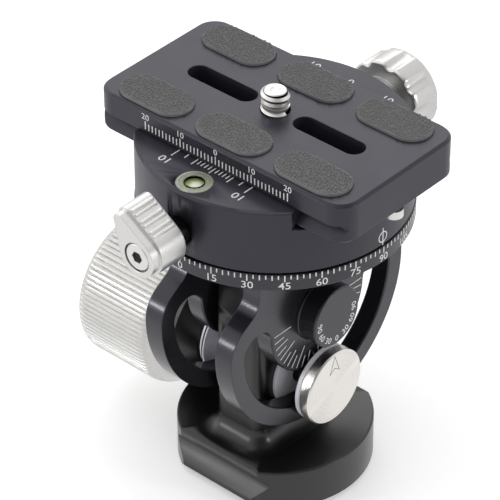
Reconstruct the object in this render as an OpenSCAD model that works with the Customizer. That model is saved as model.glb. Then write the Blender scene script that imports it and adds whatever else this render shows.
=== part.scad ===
// Monopod tilt head with a panning quick-release clamp, all sizes in millimetres.
// The origin is the centre of the base's underside. X is the tilt axis, -Y is the front with the
// bubble level, and Z is up.

/* [Base] */
// Radius of the round base
base_r = 22; // [21:0.5:24]
// Thickness of the base
base_h = 10.8; // [10:0.1:12]
// Half the width across the two dovetail flats of the base
base_flat_y = 18.8; // [18:0.1:19.5]
// Radius of the 3/8 inch socket's wall
socket_r = 3.97; // [3.9:0.01:4.05]
// Depth of the socket
socket_depth = 12; // [11:0.5:13]

/* [Lug] */
// Half the lug's width, along the tilt axis
lug_x = 6.8; // [6:0.1:7]
// Half the lug's length, front to back
lug_y = 13; // [12:0.5:14]
// Rounding of the lug's four upright corners
lug_corner_r = 2.8; // [1:0.1:4]
// Radius of the fillet round the lug's foot
foot_fillet_r = 2.8; // [1:0.1:3]
// Radius of the lug's head round the tilt axis
lug_head_r = 11.5; // [9:0.5:12.5]

/* [Tilt] */
// Height of the tilt axis
tilt_z = 46.9; // [46:0.1:48]
// Distance from the tilt axis down to the lock bolt, which is the arc slot's radius
lock_drop = 19.7; // [19:0.1:20]
// Radius of the tilt pivot pin
pivot_r = 3.5; // [3:0.1:4]
// Radius of the lock bolt
bolt_r = 3; // [2.5:0.1:3.2]
// Radial clearance of every running fit
running_gap = 0.05; // [0.02:0.01:0.08]

/* [Yoke] */
// Height of the groove between the yoke's ring and the clamp body
pan_z = 72; // [71:0.5:74]
// Radius of the yoke's ring, which carries the pan scale
ring_r = 30.4; // [30:0.1:31]
// Thickness of the ring
ring_h = 4; // [3.5:0.1:5]
// Distance from the middle to a cheek's inner face
cheek_in_x = 7.8; // [7.5:0.1:8]
// Distance from the middle to a cheek's outer face
cheek_out_x = 12.5; // [12:0.1:13]
// Radius of a cheek round the tilt axis
cheek_r = 28.4; // [28:0.1:29]
// Half the width of a cheek's neck under the ring
neck_y = 18.7; // [17:0.1:20]
// Half the width of the arc slots
slot_half = 4.4; // [3.5:0.1:4.5]
// Reach of the arc slots each way from straight down, in degrees
slot_reach = 87.5; // [80:0.5:88]

/* [Clamp] */
// Radius of the clamp body
clamp_r = 30.2; // [29.8:0.1:30.6]
// Height of the channel's floor over the pan groove
floor_h = 11.4; // [11.2:0.1:12]
// Height of the jaws over the pan groove
jaw_h = 16; // [15.8:0.1:16.4]
// How far the moving jaw opens
jaw_travel = 3.6; // [2:0.2:3.6]

/* [Quick-release plate] */
// Length of the plate
plate_l = 70; // [60:1:80]
// Width of the plate
plate_w = 38; // [37.8:0.1:38.2]
// Thickness of the plate
plate_h = 10; // [9:0.5:11]
// Radius of the plate's corners
plate_corner_r = 5; // [3:0.5:7]
// Length of a slot, end to end
slot_l = 18.6; // [16:0.2:20]
// Width of a slot
slot_w = 5.2; // [4.6:0.1:6]
// Radius of the quarter inch camera screw
screw_r = 3.175; // [3.1:0.005:3.2]
// Height of the camera screw's free end over the plate
screw_proud = 5; // [4:0.5:6]

/* [Knobs] */
// Radius of the tilt lock knob
knob_r = 17.7; // [16:0.1:18]
// Number of ridges round the tilt lock knob
knob_ridges = 64; // [48:4:72]
// Radius over the lobes of the clamp knob
clamp_knob_r = 9.7; // [9:0.1:9.9]
// Number of lobes on the clamp knob
clamp_knob_lobes = 8; // [6:1:10]

/* [Hidden] */
$fn = 72;
cut = 1;
seat_gap = 0.05;
edge_break = 0.3;
black = [0.10, 0.10, 0.11];
dark_steel = [0.30, 0.30, 0.31];
silver = [0.80, 0.79, 0.77];
steel = [0.70, 0.70, 0.69];
rubber = [0.20, 0.20, 0.20];
brass = [0.72, 0.58, 0.30];
spirit = [0.74, 0.86, 0.30];
clear = [0.85, 0.90, 0.88];

// Base and lug
socket_wall = 2.03;
base_chamfer = 0.5;
base_foot_chamfer = 1;
groove_top = 1.5;
groove_depth = 1.2;
lug_shoulder_z = 40;

// Tilt axis and lock bolt
lock_z = tilt_z - lock_drop;
bush_wall = 1.5;
bush_l = 5;
friction_washer_r = 8.7;
pivot_washer_r = 8;
dial_r = 7.5;
dial_x = 17.8;
pivot_cap_r = 6;
pivot_cap_x = -14.3;
dark_washer_r = 7.8;
dark_washer_x = cheek_out_x + 0.95;
flange_r = 9;
flange_x = 14.5;
disc_r = 9.1;
disc_x = 17.4;
knob_washer_r = 9.4;
knob_washer_x = 14.3;

// Tilt lock knob, its lengths measured outwards from the yoke
knob_x = 14.5;
knob_nose_r = 9.9;
knob_nose_l = 10.5;
knob_l = 28.7;
knob_round = 2;
ridge_depth = 0.5;
knob_nose_step = 0.5;
knob_cap_r = 12;
knob_cap_h = 0.8;
knob_cap_sunk = 1;
knob_insert_r = 6;
knob_insert_l = 14;
bolt_room_l = 4;
bolt_spare_l = 2;

// Yoke
cheek_t = cheek_out_x - cheek_in_x;
neck_fillet = 4;
shoulder_round = 4;
shoulder_slope = 32.6;
shoulder_h = 9.9;
ring_chamfer = 0.4;

// Pan bearing, heights over the pan groove
spindle_r = 10;
spindle_h = 8.2;
spindle_neck_r = 6;
lip_low = 8.3;
lip_high = 9.3;
retainer_r = 7.8;
retainer_h = 0.8;
pan_screw_r = 2.5;
pan_screw_low = 2.5;
pan_screw_head_r = 4.6;
pan_screw_head_h = 1;
pan_screw_socket = 3;
thrust_gap = 0.35;
thrust_in_r = 11;
thrust_out_r = 28;

// Clamp body and jaws, Y distances from the middle
body_wall_y = 19.9;
pocket_y = 19.4;
lip_y = 16.85;
jaw_y = 20.2;
ledge_h = 1.5;
clamp_chamfer = 0.5;
stop_groove_w = 5.2;
stop_groove_depth = 2.6;
stop_groove_x = 10;

// Clamp screw, guide pins and springs
clamp_screw_h = 5.3;
clamp_screw_r = 3;
clamp_screw_y = 13.5;
clamp_screw_cover = 2;
clamp_washer_r = 5;
clamp_neck_r = 6;
clamp_neck_y = 30.9;
clamp_knob_y = 36;
clamp_knob_end = 44.6;
clamp_knob_near_chamfer = 0.9;
clamp_knob_far_chamfer = 1.2;
flute_r = 3.1;
flute_at = clamp_knob_r + 1.3;
guide_r = 2;
guide_x = 13;
guide_left_in = 1.2;
guide_y = [12, jaw_y + jaw_travel + guide_left_in];
guide_h = 5.5;
spring_r = 2.75;
spring_wire_r = 0.3;
spring_y = [16, 22];
spring_turns = 5;
spring_pocket_r = 3.4;
hole_end_gap = 0.3;

// Pan lock lever, Y distances forward of the middle
lever_h = 6.4;
stem_r = 3;
stem_y = 14;
shoe_r = 1.5;
shoe_gap = 0.02;
collar_r = 4.4;
lever_back_y = 34.5;
lever_step_y = 41.4;
lever_front_y = 43.4;
lever_tip = [-4, 14.3];
lever_boss_r = 5.2;
lever_tip_r = 1.4;
lever_swell = 0.9;
lever_ribs = [0.22, 0.3, 0.5, 0.58, 0.78, 0.86];
lever_rib_r = 0.35;
lever_recess = 0.2;
lever_ring_w = 0.35;
lever_screw_r = 3.1;
lever_screw_sunk = 0.3;
lever_screw_socket = 2.5;

// Bubble level
level_y = -25.5;
level_r = 4;
level_depth = 4.4;
level_wall = 0.5;
level_floor = 0.8;
vial_h = 2.6;
lens_h = 0.8;

// Quick-release plate, heights over the pan groove
plate_low = floor_h + 0.02;
plate_high = plate_low + plate_h;
notch_low = 1;
notch_depth = 2.6;
notch_high = 4.8;
plate_chamfer = 0.6;
plate_foot_chamfer = 1;
slot_x = 15;
head_r = 6.2;
head_h = 2.5;
head_low = 1.2;
head_gap = 0.4;
head_socket = 5;
head_socket_depth = 2;
head_pocket_h = 4;
screw_neck_r = 2.4;
screw_gap = 0.1;
screw_tip = 0.6;
clip_in_r = 5.2;
clip_out_r = 7.1;
clip_low = 0.4;
clip_h = 0.6;
pad_l = 18.4;
pad_w = 9.6;
pad_x = 22;
pad_y = 13.1;
pad_sunk = 0.4;
pad_proud = 0.85;
stop_x = 32.9;
stop_r = 2;
stop_h = 1.9;
stop_shank_r = 1.2;
stop_shank_l = 4;
stop_hole_l = 5;
stop_socket = 1.5;
stop_socket_depth = 1;

// Point where a line from p touches the circle round c, on the side that s names
function touch_point(p, c, r, s) =
    let (v = p - c, a = atan2(v[1], v[0]) + s * acos(r / norm(v)))
    c + r * [cos(a), sin(a)];

// The four points where a belt round two circles leaves them
function belt_points(c1, r1, c2, r2) =
    let (v = c2 - c1, a = atan2(v[1], v[0]), b = acos((r1 - r2) / norm(v)))
    [
        c1 + r1 * [cos(a + b), sin(a + b)], c1 + r1 * [cos(a - b), sin(a - b)],
        c2 + r2 * [cos(a - b), sin(a - b)], c2 + r2 * [cos(a + b), sin(a + b)]
    ];

// Lays a shape so that its x, y and height run along Y, Z and X
module along_x(x = 0, y = 0, z = 0) {
    translate([x, y, z]) rotate([90, 0, 90]) children();
}

// Lays a shape so that its x, y and height run along X, Z and -Y
module to_front(x = 0, y = 0, z = 0) {
    translate([x, y, z]) rotate([90, 0, 0]) children();
}

// Lays a round shape so that its height runs along Y
module to_back(x = 0, y = 0, z = 0) {
    translate([x, y, z]) rotate([-90, 0, 0]) children();
}

// A washer lying on the XY plane
module washer(r_out, r_in, h) {
    difference() {
        cylinder(r = r_out, h = h);
        translate([0, 0, -cut]) cylinder(r = r_in, h = h + 2 * cut);
    }
}

// A flat outline with two round ends of different size
module belt(c1, r1, c2, r2) {
    polygon(belt_points(c1, r1, c2, r2));
    translate(c1) circle(r1);
    translate(c2) circle(r2);
}

// A rectangle with round corners, centred
module rounded_rectangle(w, l, r) {
    square([w - 2 * r, l], center = true);
    square([w, l - 2 * r], center = true);
    for (x = [-1, 1], y = [-1, 1]) translate([x * (w / 2 - r), y * (l / 2 - r)]) circle(r);
}

// A slot's outline, centred, along X
module stadium(l, w) {
    square([l - w, w], center = true);
    for (x = [-1, 1]) translate([x * (l - w) / 2, 0]) circle(w / 2);
}

// A turned piece from its outline of radius and height
module turned(points) {
    rotate_extrude() polygon(points);
}

// A disc with one small chamfer on its far edge
module faced_disc(r, h, chamfer) {
    turned([[0, 0], [r, 0], [r, h - chamfer], [r - chamfer, h], [0, h]]);
}

// Hexagon socket to cut in a screw's head
module hex_socket(across, depth) {
    cylinder(d = across / cos(30), h = depth, $fn = 6);
}

// Base

// What the dovetail flat takes off one side, as an outline of Y and Z
module base_flat_cut() {
    groove_z = base_h - groove_top;
    polygon([
        [base_flat_y - base_foot_chamfer, -cut],
        [base_flat_y - base_foot_chamfer, 0],
        [base_flat_y, base_foot_chamfer],
        [base_flat_y, groove_z - groove_depth],
        [base_flat_y - groove_depth, groove_z - groove_depth / 2],
        [base_flat_y - groove_depth, groove_z],
        [base_flat_y, groove_z],
        [base_flat_y, base_h - base_chamfer],
        [base_flat_y - base_chamfer, base_h],
        [base_flat_y - base_chamfer, base_h + cut],
        [base_r + cut, base_h + cut],
        [base_r + cut, -cut]
    ]);
}

module base_disc() {
    difference() {
        turned([
            [0, 0], [base_r - base_foot_chamfer, 0], [base_r, base_foot_chamfer],
            [base_r, base_h - base_chamfer], [base_r - base_chamfer, base_h], [0, base_h]
        ]);
        along_x(-base_r - cut) linear_extrude(2 * (base_r + cut)) {
            base_flat_cut();
            mirror([1, 0]) base_flat_cut();
        }
    }
}

// Side view of the lug: upright faces, sloped shoulders and a round head
module lug_outline() {
    head = [0, tilt_z];
    right = touch_point([lug_y, lug_shoulder_z], head, lug_head_r, 1);
    polygon([
        [-lug_y, base_h - cut], [lug_y, base_h - cut], [lug_y, lug_shoulder_z],
        right, [-right[0], right[1]], [-lug_y, lug_shoulder_z]
    ]);
    translate(head) circle(lug_head_r);
}

module lug() {
    intersection() {
        along_x(-lug_x) linear_extrude(2 * lug_x) lug_outline();
        linear_extrude(tilt_z + lug_head_r + cut)
            rounded_rectangle(2 * lug_x, 2 * lug_y, lug_corner_r);
    }
}

// Outline of the foot's fillet, from the lug's face outwards
module fillet_outline() {
    difference() {
        translate([-cut / 2, -cut / 2]) square(foot_fillet_r + cut / 2);
        translate([foot_fillet_r, foot_fillet_r]) circle(foot_fillet_r);
    }
}

module foot_fillet() {
    straight_x = lug_x - lug_corner_r;
    straight_y = lug_y - lug_corner_r;
    for (side = [-1, 1]) {
        translate([-straight_x, side * lug_y, base_h]) rotate([90, 0, 90])
            linear_extrude(2 * straight_x) scale([side, 1]) fillet_outline();
        translate([side * lug_x, straight_y, base_h]) rotate([90, 0, 0])
            linear_extrude(2 * straight_y) scale([side, 1]) fillet_outline();
    }
    for (turn = [0:3]) {
        x = (turn == 0 || turn == 3) ? straight_x : -straight_x;
        y = (turn < 2) ? straight_y : -straight_y;
        translate([x, y, base_h]) rotate([0, 0, turn * 90])
            rotate_extrude(angle = 90) translate([lug_corner_r, 0]) fillet_outline();
    }
}

module base_block() {
    color(black) difference() {
        union() {
            base_disc();
            lug();
            foot_fillet();
        }
        translate([0, 0, -cut]) cylinder(r = socket_r + socket_wall, h = socket_depth + cut);
        along_x(-lug_x - cut, 0, lock_z) cylinder(r = bolt_r, h = 2 * (lug_x + cut));
        along_x(-lug_x - cut, 0, tilt_z) cylinder(r = pivot_r + bush_wall, h = 2 * (lug_x + cut));
    }
}

module base_thread_insert() {
    color(brass) difference() {
        faced_disc(socket_r + socket_wall, socket_depth, edge_break);
        translate([0, 0, -cut]) cylinder(r = socket_r, h = socket_depth + 2 * cut);
    }
}

// Tilt pivot and lock

module tilt_bushes() {
    r_in = pivot_r + running_gap;
    color(brass) for (side = [-1, 1])
        along_x(side > 0 ? lug_x - bush_l : -lug_x, 0, tilt_z)
            washer(pivot_r + bush_wall, r_in, bush_l);
}

// A pair of washers in the gaps between the lug and the two cheeks
module gap_washers(z, r_out, r_in) {
    t = cheek_in_x - lug_x - 2 * seat_gap;
    for (x = [-cheek_in_x + seat_gap, lug_x + seat_gap]) along_x(x, 0, z) washer(r_out, r_in, t);
}

module pivot_washers() {
    color(dark_steel) gap_washers(tilt_z, pivot_washer_r, pivot_r + 4 * running_gap);
}

module friction_washers() {
    color(steel) gap_washers(lock_z, friction_washer_r, bolt_r);
}

module lock_bolt() {
    end_x = -knob_x - knob_insert_l - bolt_spare_l;
    c = 2 * edge_break;
    color(dark_steel) along_x(end_x, 0, lock_z) turned([
        [0, 0], [bolt_r - c, 0], [bolt_r, c], [bolt_r, flange_x - end_x], [0, flange_x - end_x]
    ]);
}

module index_disc() {
    h = disc_x - flange_x;
    groove_h = edge_break;
    groove_r = disc_r - 0.4;
    color(steel) along_x(flange_x, 0, lock_z) turned([
        [0, 0], [groove_r, 0], [groove_r, groove_h], [disc_r, groove_h + 0.2],
        [disc_r, h - edge_break], [disc_r - edge_break, h], [0, h]
    ]);
}

module index_flange() {
    h = flange_x - dark_washer_x;
    c = 0.2;
    color(silver) along_x(dark_washer_x, 0, lock_z) difference() {
        turned([[0, 0], [flange_r - c, 0], [flange_r, c], [flange_r, h], [0, h]]);
        translate([0, 0, -cut]) cylinder(r = bolt_r, h = h + 2 * cut);
    }
}

module lock_washers() {
    t = dark_washer_x - cheek_out_x - seat_gap;
    color(dark_steel) for (x = [cheek_out_x + seat_gap, -cheek_out_x - seat_gap - t])
        along_x(x, 0, lock_z) washer(dark_washer_r, bolt_r, t);
}

module knob_washer() {
    t = knob_washer_x - dark_washer_x;
    color(silver) along_x(-knob_washer_x, 0, lock_z) washer(knob_washer_r, bolt_r, t);
}

// Cross-section of the ridged grip: a circle with a fine groove between each pair of ridges
module ridge_outline() {
    difference() {
        circle(knob_r);
        for (i = [0:knob_ridges - 1]) rotate(i * 360 / knob_ridges)
            translate([knob_r + ridge_depth * 0.4, 0]) circle(ridge_depth * 1.4);
    }
}

// Lays the knob's parts along -X from the yoke
module knob_place() {
    translate([-knob_x, 0, lock_z]) rotate([0, -90, 0]) children();
}

module tilt_knob() {
    rounding = [for (a = [0:15:90]) [
        knob_r - knob_round * (1 - cos(a)), knob_l - knob_round * (1 - sin(a))
    ]];
    color(silver) knob_place() difference() {
        intersection() {
            turned(concat(
                [
                    [0, 0], [knob_nose_r, 0], [knob_r - knob_nose_step, knob_nose_l],
                    [knob_r, knob_nose_l + knob_nose_step]
                ],
                rounding, [[0, knob_l]]
            ));
            union() {
                translate([0, 0, -cut]) cylinder(r = knob_r - 1, h = knob_l + 2 * cut);
                linear_extrude(knob_l + cut) ridge_outline();
            }
        }
        translate([0, 0, -cut]) cylinder(r = knob_insert_r, h = knob_insert_l + cut);
        translate([0, 0, knob_insert_l - cut])
            cylinder(r = bolt_r + 0.5, h = bolt_room_l + cut);
        translate([0, 0, knob_l - knob_cap_sunk])
            cylinder(r = knob_cap_r, h = knob_cap_sunk + cut);
    }
}

module tilt_knob_insert() {
    color(brass) knob_place() washer(knob_insert_r, bolt_r + running_gap, knob_insert_l);
}

module tilt_knob_cap() {
    color(silver) knob_place() translate([0, 0, knob_l - knob_cap_sunk])
        faced_disc(knob_cap_r, knob_cap_h, edge_break);
}

// Yoke

// Tangent point and centre data of the S-shaped side between a cheek's neck and its round part.
// Outlines of the cheek are drawn in Y and in height over the tilt axis.
function slope_normal() = [sin(shoulder_slope), cos(shoulder_slope)];
function fillet_centre() =
    [neck_y + neck_fillet,
     shoulder_h - neck_fillet * tan(shoulder_slope) + neck_fillet / cos(shoulder_slope)];
function shoulder_centre() =
    let (
        t = tan(shoulder_slope),
        k = shoulder_h + neck_y * t - shoulder_round / cos(shoulder_slope),
        reach = cheek_r - shoulder_round,
        y = (k * t + sqrt(k * k * t * t - (1 + t * t) * (k * k - reach * reach))) / (1 + t * t)
    )
    [y, k - y * t];

// Half of the cheek's outline above its round part
module cheek_side(top) {
    corner = [neck_y, shoulder_h];
    fc = fillet_centre();
    sc = shoulder_centre();
    polygon([
        [0, 0], [0, top], [neck_y, top], corner, sc + shoulder_round * slope_normal(), sc
    ]);
    translate(sc) circle(shoulder_round);
    difference() {
        polygon([corner, [neck_y, fc[1]], fc, fc - neck_fillet * slope_normal()]);
        translate(fc) circle(neck_fillet);
    }
}

// The slot that the lock bolt runs in, an arc round the tilt axis
module arc_slot() {
    far = 2 * cheek_r;
    reach = [sin(slot_reach), -cos(slot_reach)];
    intersection() {
        difference() {
            circle(lock_drop + slot_half);
            circle(lock_drop - slot_half);
        }
        polygon([
            [0, 0], far * reach, [far, -far], [-far, -far], [-far * reach[0], far * reach[1]]
        ]);
    }
    for (side = [-1, 1])
        translate(lock_drop * [side * reach[0], reach[1]]) circle(slot_half);
}

// The cheek's round part, up to where the shoulders' roundings touch it
module cheek_round() {
    sc = shoulder_centre();
    end = 2 * cheek_r / norm(sc) * sc;
    far = 2 * cheek_r;
    intersection() {
        circle(cheek_r);
        polygon([[0, 0], end, [far, -far], [-far, -far], [-end[0], end[1]]]);
    }
}

module cheek(x) {
    top = pan_z - ring_h - tilt_z + cut;
    along_x(x, 0, tilt_z) linear_extrude(cheek_t) difference() {
        union() {
            cheek_round();
            cheek_side(top);
            mirror([1, 0]) cheek_side(top);
        }
        arc_slot();
        circle(pivot_r);
    }
}

module yoke() {
    color(black) difference() {
        union() {
            translate([0, 0, pan_z - ring_h]) turned([
                [0, 0], [ring_r - ring_chamfer, 0], [ring_r, ring_chamfer],
                [ring_r, ring_h - ring_chamfer], [ring_r - ring_chamfer, ring_h], [0, ring_h]
            ]);
            cheek(cheek_in_x);
            cheek(-cheek_out_x);
        }
        translate([0, 0, pan_z - ring_h - cut])
            cylinder(r = spindle_neck_r, h = ring_h + 2 * cut);
    }
}

module tilt_pivot_pin() {
    color(dark_steel) along_x(-cheek_out_x, 0, tilt_z)
        cylinder(r = pivot_r, h = 2 * cheek_out_x);
}

module tilt_dial() {
    h = dial_x - cheek_out_x;
    foot_h = 0.5;
    step = 0.15;
    r = dial_r - step;
    color(black) along_x(cheek_out_x, 0, tilt_z) turned([
        [0, 0], [dial_r, 0], [dial_r, foot_h], [r, foot_h + step], [r, h - edge_break],
        [r - edge_break, h], [0, h]
    ]);
}

module pivot_cap() {
    h = -pivot_cap_x - cheek_out_x;
    color(black) translate([-cheek_out_x, 0, tilt_z]) rotate([0, -90, 0])
        faced_disc(pivot_cap_r, h, 0.4);
}

// Pan bearing

// Places a piece at a height over the pan groove
module over_pan(h) {
    translate([0, 0, pan_z + h]) children();
}

module pan_spindle() {
    neck_high = lip_high + seat_gap;
    color(steel) over_pan(0) difference() {
        turned([
            [0, -ring_h], [spindle_neck_r, -ring_h], [spindle_neck_r, 0], [spindle_r, 0],
            [spindle_r, spindle_h], [spindle_neck_r, spindle_h], [spindle_neck_r, neck_high],
            [0, neck_high]
        ]);
        translate([0, 0, pan_screw_low - seat_gap]) cylinder(r = pan_screw_r, h = neck_high);
    }
}

module pan_thrust_washer() {
    play = 0.02;
    color(clear) over_pan(play) difference() {
        cylinder(r = thrust_out_r, h = thrust_gap - 3 * play);
        translate([0, 0, -cut]) cylinder(r = thrust_in_r, h = 2 * cut);
    }
}

module pan_retaining_washer() {
    low = lip_high + seat_gap;
    color(steel) over_pan(low) difference() {
        cylinder(r = retainer_r, h = retainer_h);
        translate([0, 0, -cut]) cylinder(r = pan_screw_r, h = retainer_h + 2 * cut);
    }
}

module pan_screw() {
    shank = lip_high + seat_gap + retainer_h - pan_screw_low;
    color(dark_steel) over_pan(pan_screw_low) difference() {
        union() {
            cylinder(r = pan_screw_r, h = shank);
            translate([0, 0, shank]) faced_disc(pan_screw_head_r, pan_screw_head_h, edge_break);
        }
        translate([0, 0, shank - pan_screw_head_h]) hex_socket(pan_screw_socket, 3 * pan_screw_head_h);
    }
}

// Clamp body and its inner pieces

// Turned outline of the clamp body, from the pan groove up
module clamp_blank(low) {
    turned([
        [0, low], [clamp_r - edge_break, low], [clamp_r, low + edge_break],
        [clamp_r, jaw_h - clamp_chamfer], [clamp_r - clamp_chamfer, jaw_h], [0, jaw_h]
    ]);
}

// Side view of the jaw's inner face, from the pocket's foot to the top of the lip
function jaw_face(y_pocket, z_low) = [
    [y_pocket, z_low], [y_pocket, jaw_slope_h(y_pocket)], [lip_y, jaw_slope_h(lip_y)],
    [lip_y, jaw_h + cut]
];
// Height of the jaw's dovetail slope at a distance from the middle
function jaw_slope_h(y) = floor_h + notch_low + plate_w / 2 + 0.1 - y;

module clamp_body() {
    wide = 2 * (clamp_r + cut);
    face = jaw_face(pocket_y, floor_h);
    color(black) over_pan(0) difference() {
        clamp_blank(thrust_gap);
        along_x(-wide / 2) linear_extrude(wide) polygon(concat(
            [[clamp_r + cut, floor_h]], [for (p = face) [-p[0], p[1]]],
            [[clamp_r + cut, jaw_h + cut]]
        ));
        translate([-wide / 2, body_wall_y, ledge_h]) cube([wide, clamp_r, jaw_h]);
        for (side = [-1, 1]) translate([
            side > 0 ? stop_groove_x : -stop_groove_x - clamp_r, -stop_groove_w / 2,
            floor_h - stop_groove_depth
        ]) cube([clamp_r, stop_groove_w, stop_groove_depth + cut]);
        cylinder(r = spindle_r + running_gap, h = lip_low);
        cylinder(r = spindle_neck_r + running_gap, h = jaw_h);
        translate([0, 0, lip_high]) cylinder(r = retainer_r + hole_end_gap, h = jaw_h);
        to_front(0, -stem_y, lever_h) cylinder(r = stem_r + running_gap, h = clamp_r);
        to_front(0, -spindle_r + cut, lever_h)
            cylinder(r = shoe_r + shoe_gap, h = stem_y - spindle_r + 2 * cut);
        to_back(0, clamp_screw_y - 0.5, clamp_screw_h)
            cylinder(r = clamp_screw_r + running_gap, h = clamp_r);
        for (side = [-1, 1]) {
            to_back(side * guide_x, guide_y[0], guide_h) cylinder(r = guide_r, h = clamp_r);
            to_back(side * guide_x, spring_y[0] - 0.1, guide_h)
                cylinder(r = spring_pocket_r, h = clamp_r);
        }
        translate([0, level_y, jaw_h - level_depth]) cylinder(r = level_r, h = jaw_h);
    }
}

module jaw_guide_pins() {
    color(steel) over_pan(0) for (side = [-1, 1]) to_back(side * guide_x, guide_y[0], guide_h)
        cylinder(r = guide_r, h = guide_y[1] - guide_y[0]);
}

// A closed helical tube of six sides, standing on the XY plane
module coil(r, wire_r, turns, length) {
    sides = 6;
    steps = 12 * turns;
    rise = (length - 2 * wire_r) / steps;
    points = [for (i = [0:steps], j = [0:sides - 1])
        let (a = i * 30, b = j * 360 / sides, out = r + wire_r * cos(b))
        [out * cos(a), out * sin(a), wire_r + rise * i + wire_r * sin(b)]];
    walls = [for (i = [0:steps - 1], j = [0:sides - 1])
        let (p = i * sides + j, q = i * sides + (j + 1) % sides)
        each [[p, q, q + sides], [p, q + sides, p + sides]]];
    last = steps * sides;
    caps = [for (j = [1:sides - 2]) each [[0, j + 1, j], [last, last + j, last + j + 1]]];
    polyhedron(points, concat(walls, caps));
}

module jaw_springs() {
    color(steel) over_pan(0) for (side = [-1, 1]) to_back(side * guide_x, spring_y[0], guide_h)
        coil(spring_r, spring_wire_r, spring_turns, spring_y[1] - spring_y[0]);
}

module pan_lock_shoe() {
    low_y = spindle_r + 2 * running_gap;
    color(brass) over_pan(lever_h) to_front(0, -low_y, 0)
        cylinder(r = shoe_r, h = stem_y - low_y);
}

// Bubble level

module level_cup() {
    color(steel) over_pan(jaw_h - level_depth) translate([0, level_y, 0]) difference() {
        cylinder(r = level_r, h = level_depth);
        translate([0, 0, level_floor]) cylinder(r = level_r - level_wall, h = level_depth);
    }
}

module level_vial() {
    color(spirit) over_pan(jaw_h - level_depth + level_floor) translate([0, level_y, 0])
        cylinder(r = level_r - level_wall, h = vial_h);
}

module level_lens() {
    color(clear) over_pan(jaw_h - level_depth + level_floor + vial_h) translate([0, level_y, 0])
        faced_disc(level_r - level_wall, lens_h, 0.2);
}

// Moving jaw and clamp knob

module moving_jaw() {
    wide = 2 * (clamp_r + cut);
    face = jaw_face(pocket_y, floor_h + seat_gap);
    color(black) over_pan(0) difference() {
        intersection() {
            clamp_blank(0);
            along_x(-wide / 2) linear_extrude(wide) polygon(concat(
                [
                    [clamp_r + cut, ledge_h + seat_gap], [jaw_y, ledge_h + seat_gap],
                    [jaw_y, floor_h + seat_gap]
                ],
                face, [[clamp_r + cut, jaw_h + cut]]
            ));
        }
        to_back(0, jaw_y - cut, clamp_screw_h)
            cylinder(r = clamp_screw_r + running_gap, h = clamp_r);
        for (side = [-1, 1]) {
            to_back(side * guide_x, jaw_y - cut, guide_h)
                cylinder(r = guide_r + running_gap, h = guide_y[1] - jaw_y + cut + hole_end_gap);
            to_back(side * guide_x, jaw_y - cut, guide_h)
                cylinder(r = spring_pocket_r, h = spring_y[1] - jaw_y + cut + hole_end_gap);
        }
    }
}

// Cross-section of the clamp knob: round lobes with hollow flutes between
module lobed_outline() {
    difference() {
        circle(clamp_knob_r);
        for (i = [0:clamp_knob_lobes - 1]) rotate((i + 0.5) * 360 / clamp_knob_lobes)
            translate([flute_at, 0]) circle(flute_r);
    }
}

module clamp_knob() {
    h = clamp_knob_end - clamp_knob_y;
    neck = clamp_knob_y - clamp_neck_y;
    r = clamp_knob_r;
    c1 = clamp_knob_near_chamfer;
    c2 = clamp_knob_far_chamfer;
    color(silver) over_pan(0) to_back(0, clamp_neck_y, clamp_screw_h) difference() {
        union() {
            cylinder(r = clamp_neck_r, h = neck + cut);
            translate([0, 0, neck]) intersection() {
                turned([[0, 0], [r - c1, 0], [r, c1], [r, h - c2], [r - c2, h], [0, h]]);
                linear_extrude(h + cut) lobed_outline();
            }
        }
        translate([0, 0, -cut])
            cylinder(r = clamp_screw_r, h = neck + h - clamp_screw_cover + cut);
    }
}

module clamp_screw() {
    h = clamp_knob_end - clamp_screw_cover - clamp_screw_y;
    r = clamp_screw_r;
    c = 0.5;
    color(dark_steel) over_pan(0) to_back(0, clamp_screw_y, clamp_screw_h)
        turned([[0, 0], [r - c, 0], [r, c], [r, h], [0, h]]);
}

module clamp_knob_washer() {
    low = clamp_r + seat_gap;
    color(black) over_pan(0) to_back(0, low, clamp_screw_h)
        washer(clamp_washer_r, clamp_screw_r, clamp_neck_y - low - seat_gap);
}

// Pan lock lever

module pan_lock_stem() {
    color(dark_steel) over_pan(lever_h) to_front(0, -stem_y - seat_gap, 0)
        cylinder(r = stem_r, h = lever_step_y - stem_y - seat_gap);
}

// Outline of the wing, seen from the front
module wing_outline(grow) {
    belt([0, 0], lever_boss_r + grow, lever_tip, lever_tip_r + grow);
}

module pan_lock_lever() {
    back = lever_step_y - lever_back_y;
    front = lever_front_y - lever_step_y;
    ribs = belt_points([0, 0], lever_boss_r + lever_swell, lever_tip, lever_tip_r + lever_swell);
    color(silver) over_pan(lever_h) difference() {
        union() {
            to_front(0, -clamp_r - 0.4, 0) cylinder(r = collar_r, h = lever_back_y - clamp_r);
            to_front(0, -lever_back_y, 0) linear_extrude(back) wing_outline(lever_swell);
            to_front(0, -lever_step_y, 0) linear_extrude(front) wing_outline(0);
            for (t = lever_ribs) {
                p = ribs[1] + t * (ribs[2] - ribs[1]);
                to_front(p[0], -lever_back_y, p[1]) cylinder(r = lever_rib_r, h = back);
            }
        }
        to_front(0, -clamp_r, 0) cylinder(r = stem_r, h = lever_step_y - clamp_r);
        to_front(0, -lever_step_y - lever_recess, 0)
            cylinder(r = lever_screw_r + lever_ring_w, h = front + cut);
    }
}

module lever_cap_screw() {
    h = lever_front_y - lever_step_y - lever_screw_sunk;
    depth = 1.2;
    color(steel) over_pan(lever_h) to_front(0, -lever_step_y - lever_recess, 0) difference() {
        faced_disc(lever_screw_r, h, 0.2);
        translate([0, 0, h - depth]) hex_socket(lever_screw_socket, depth + cut);
    }
}

// Quick-release plate

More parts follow.
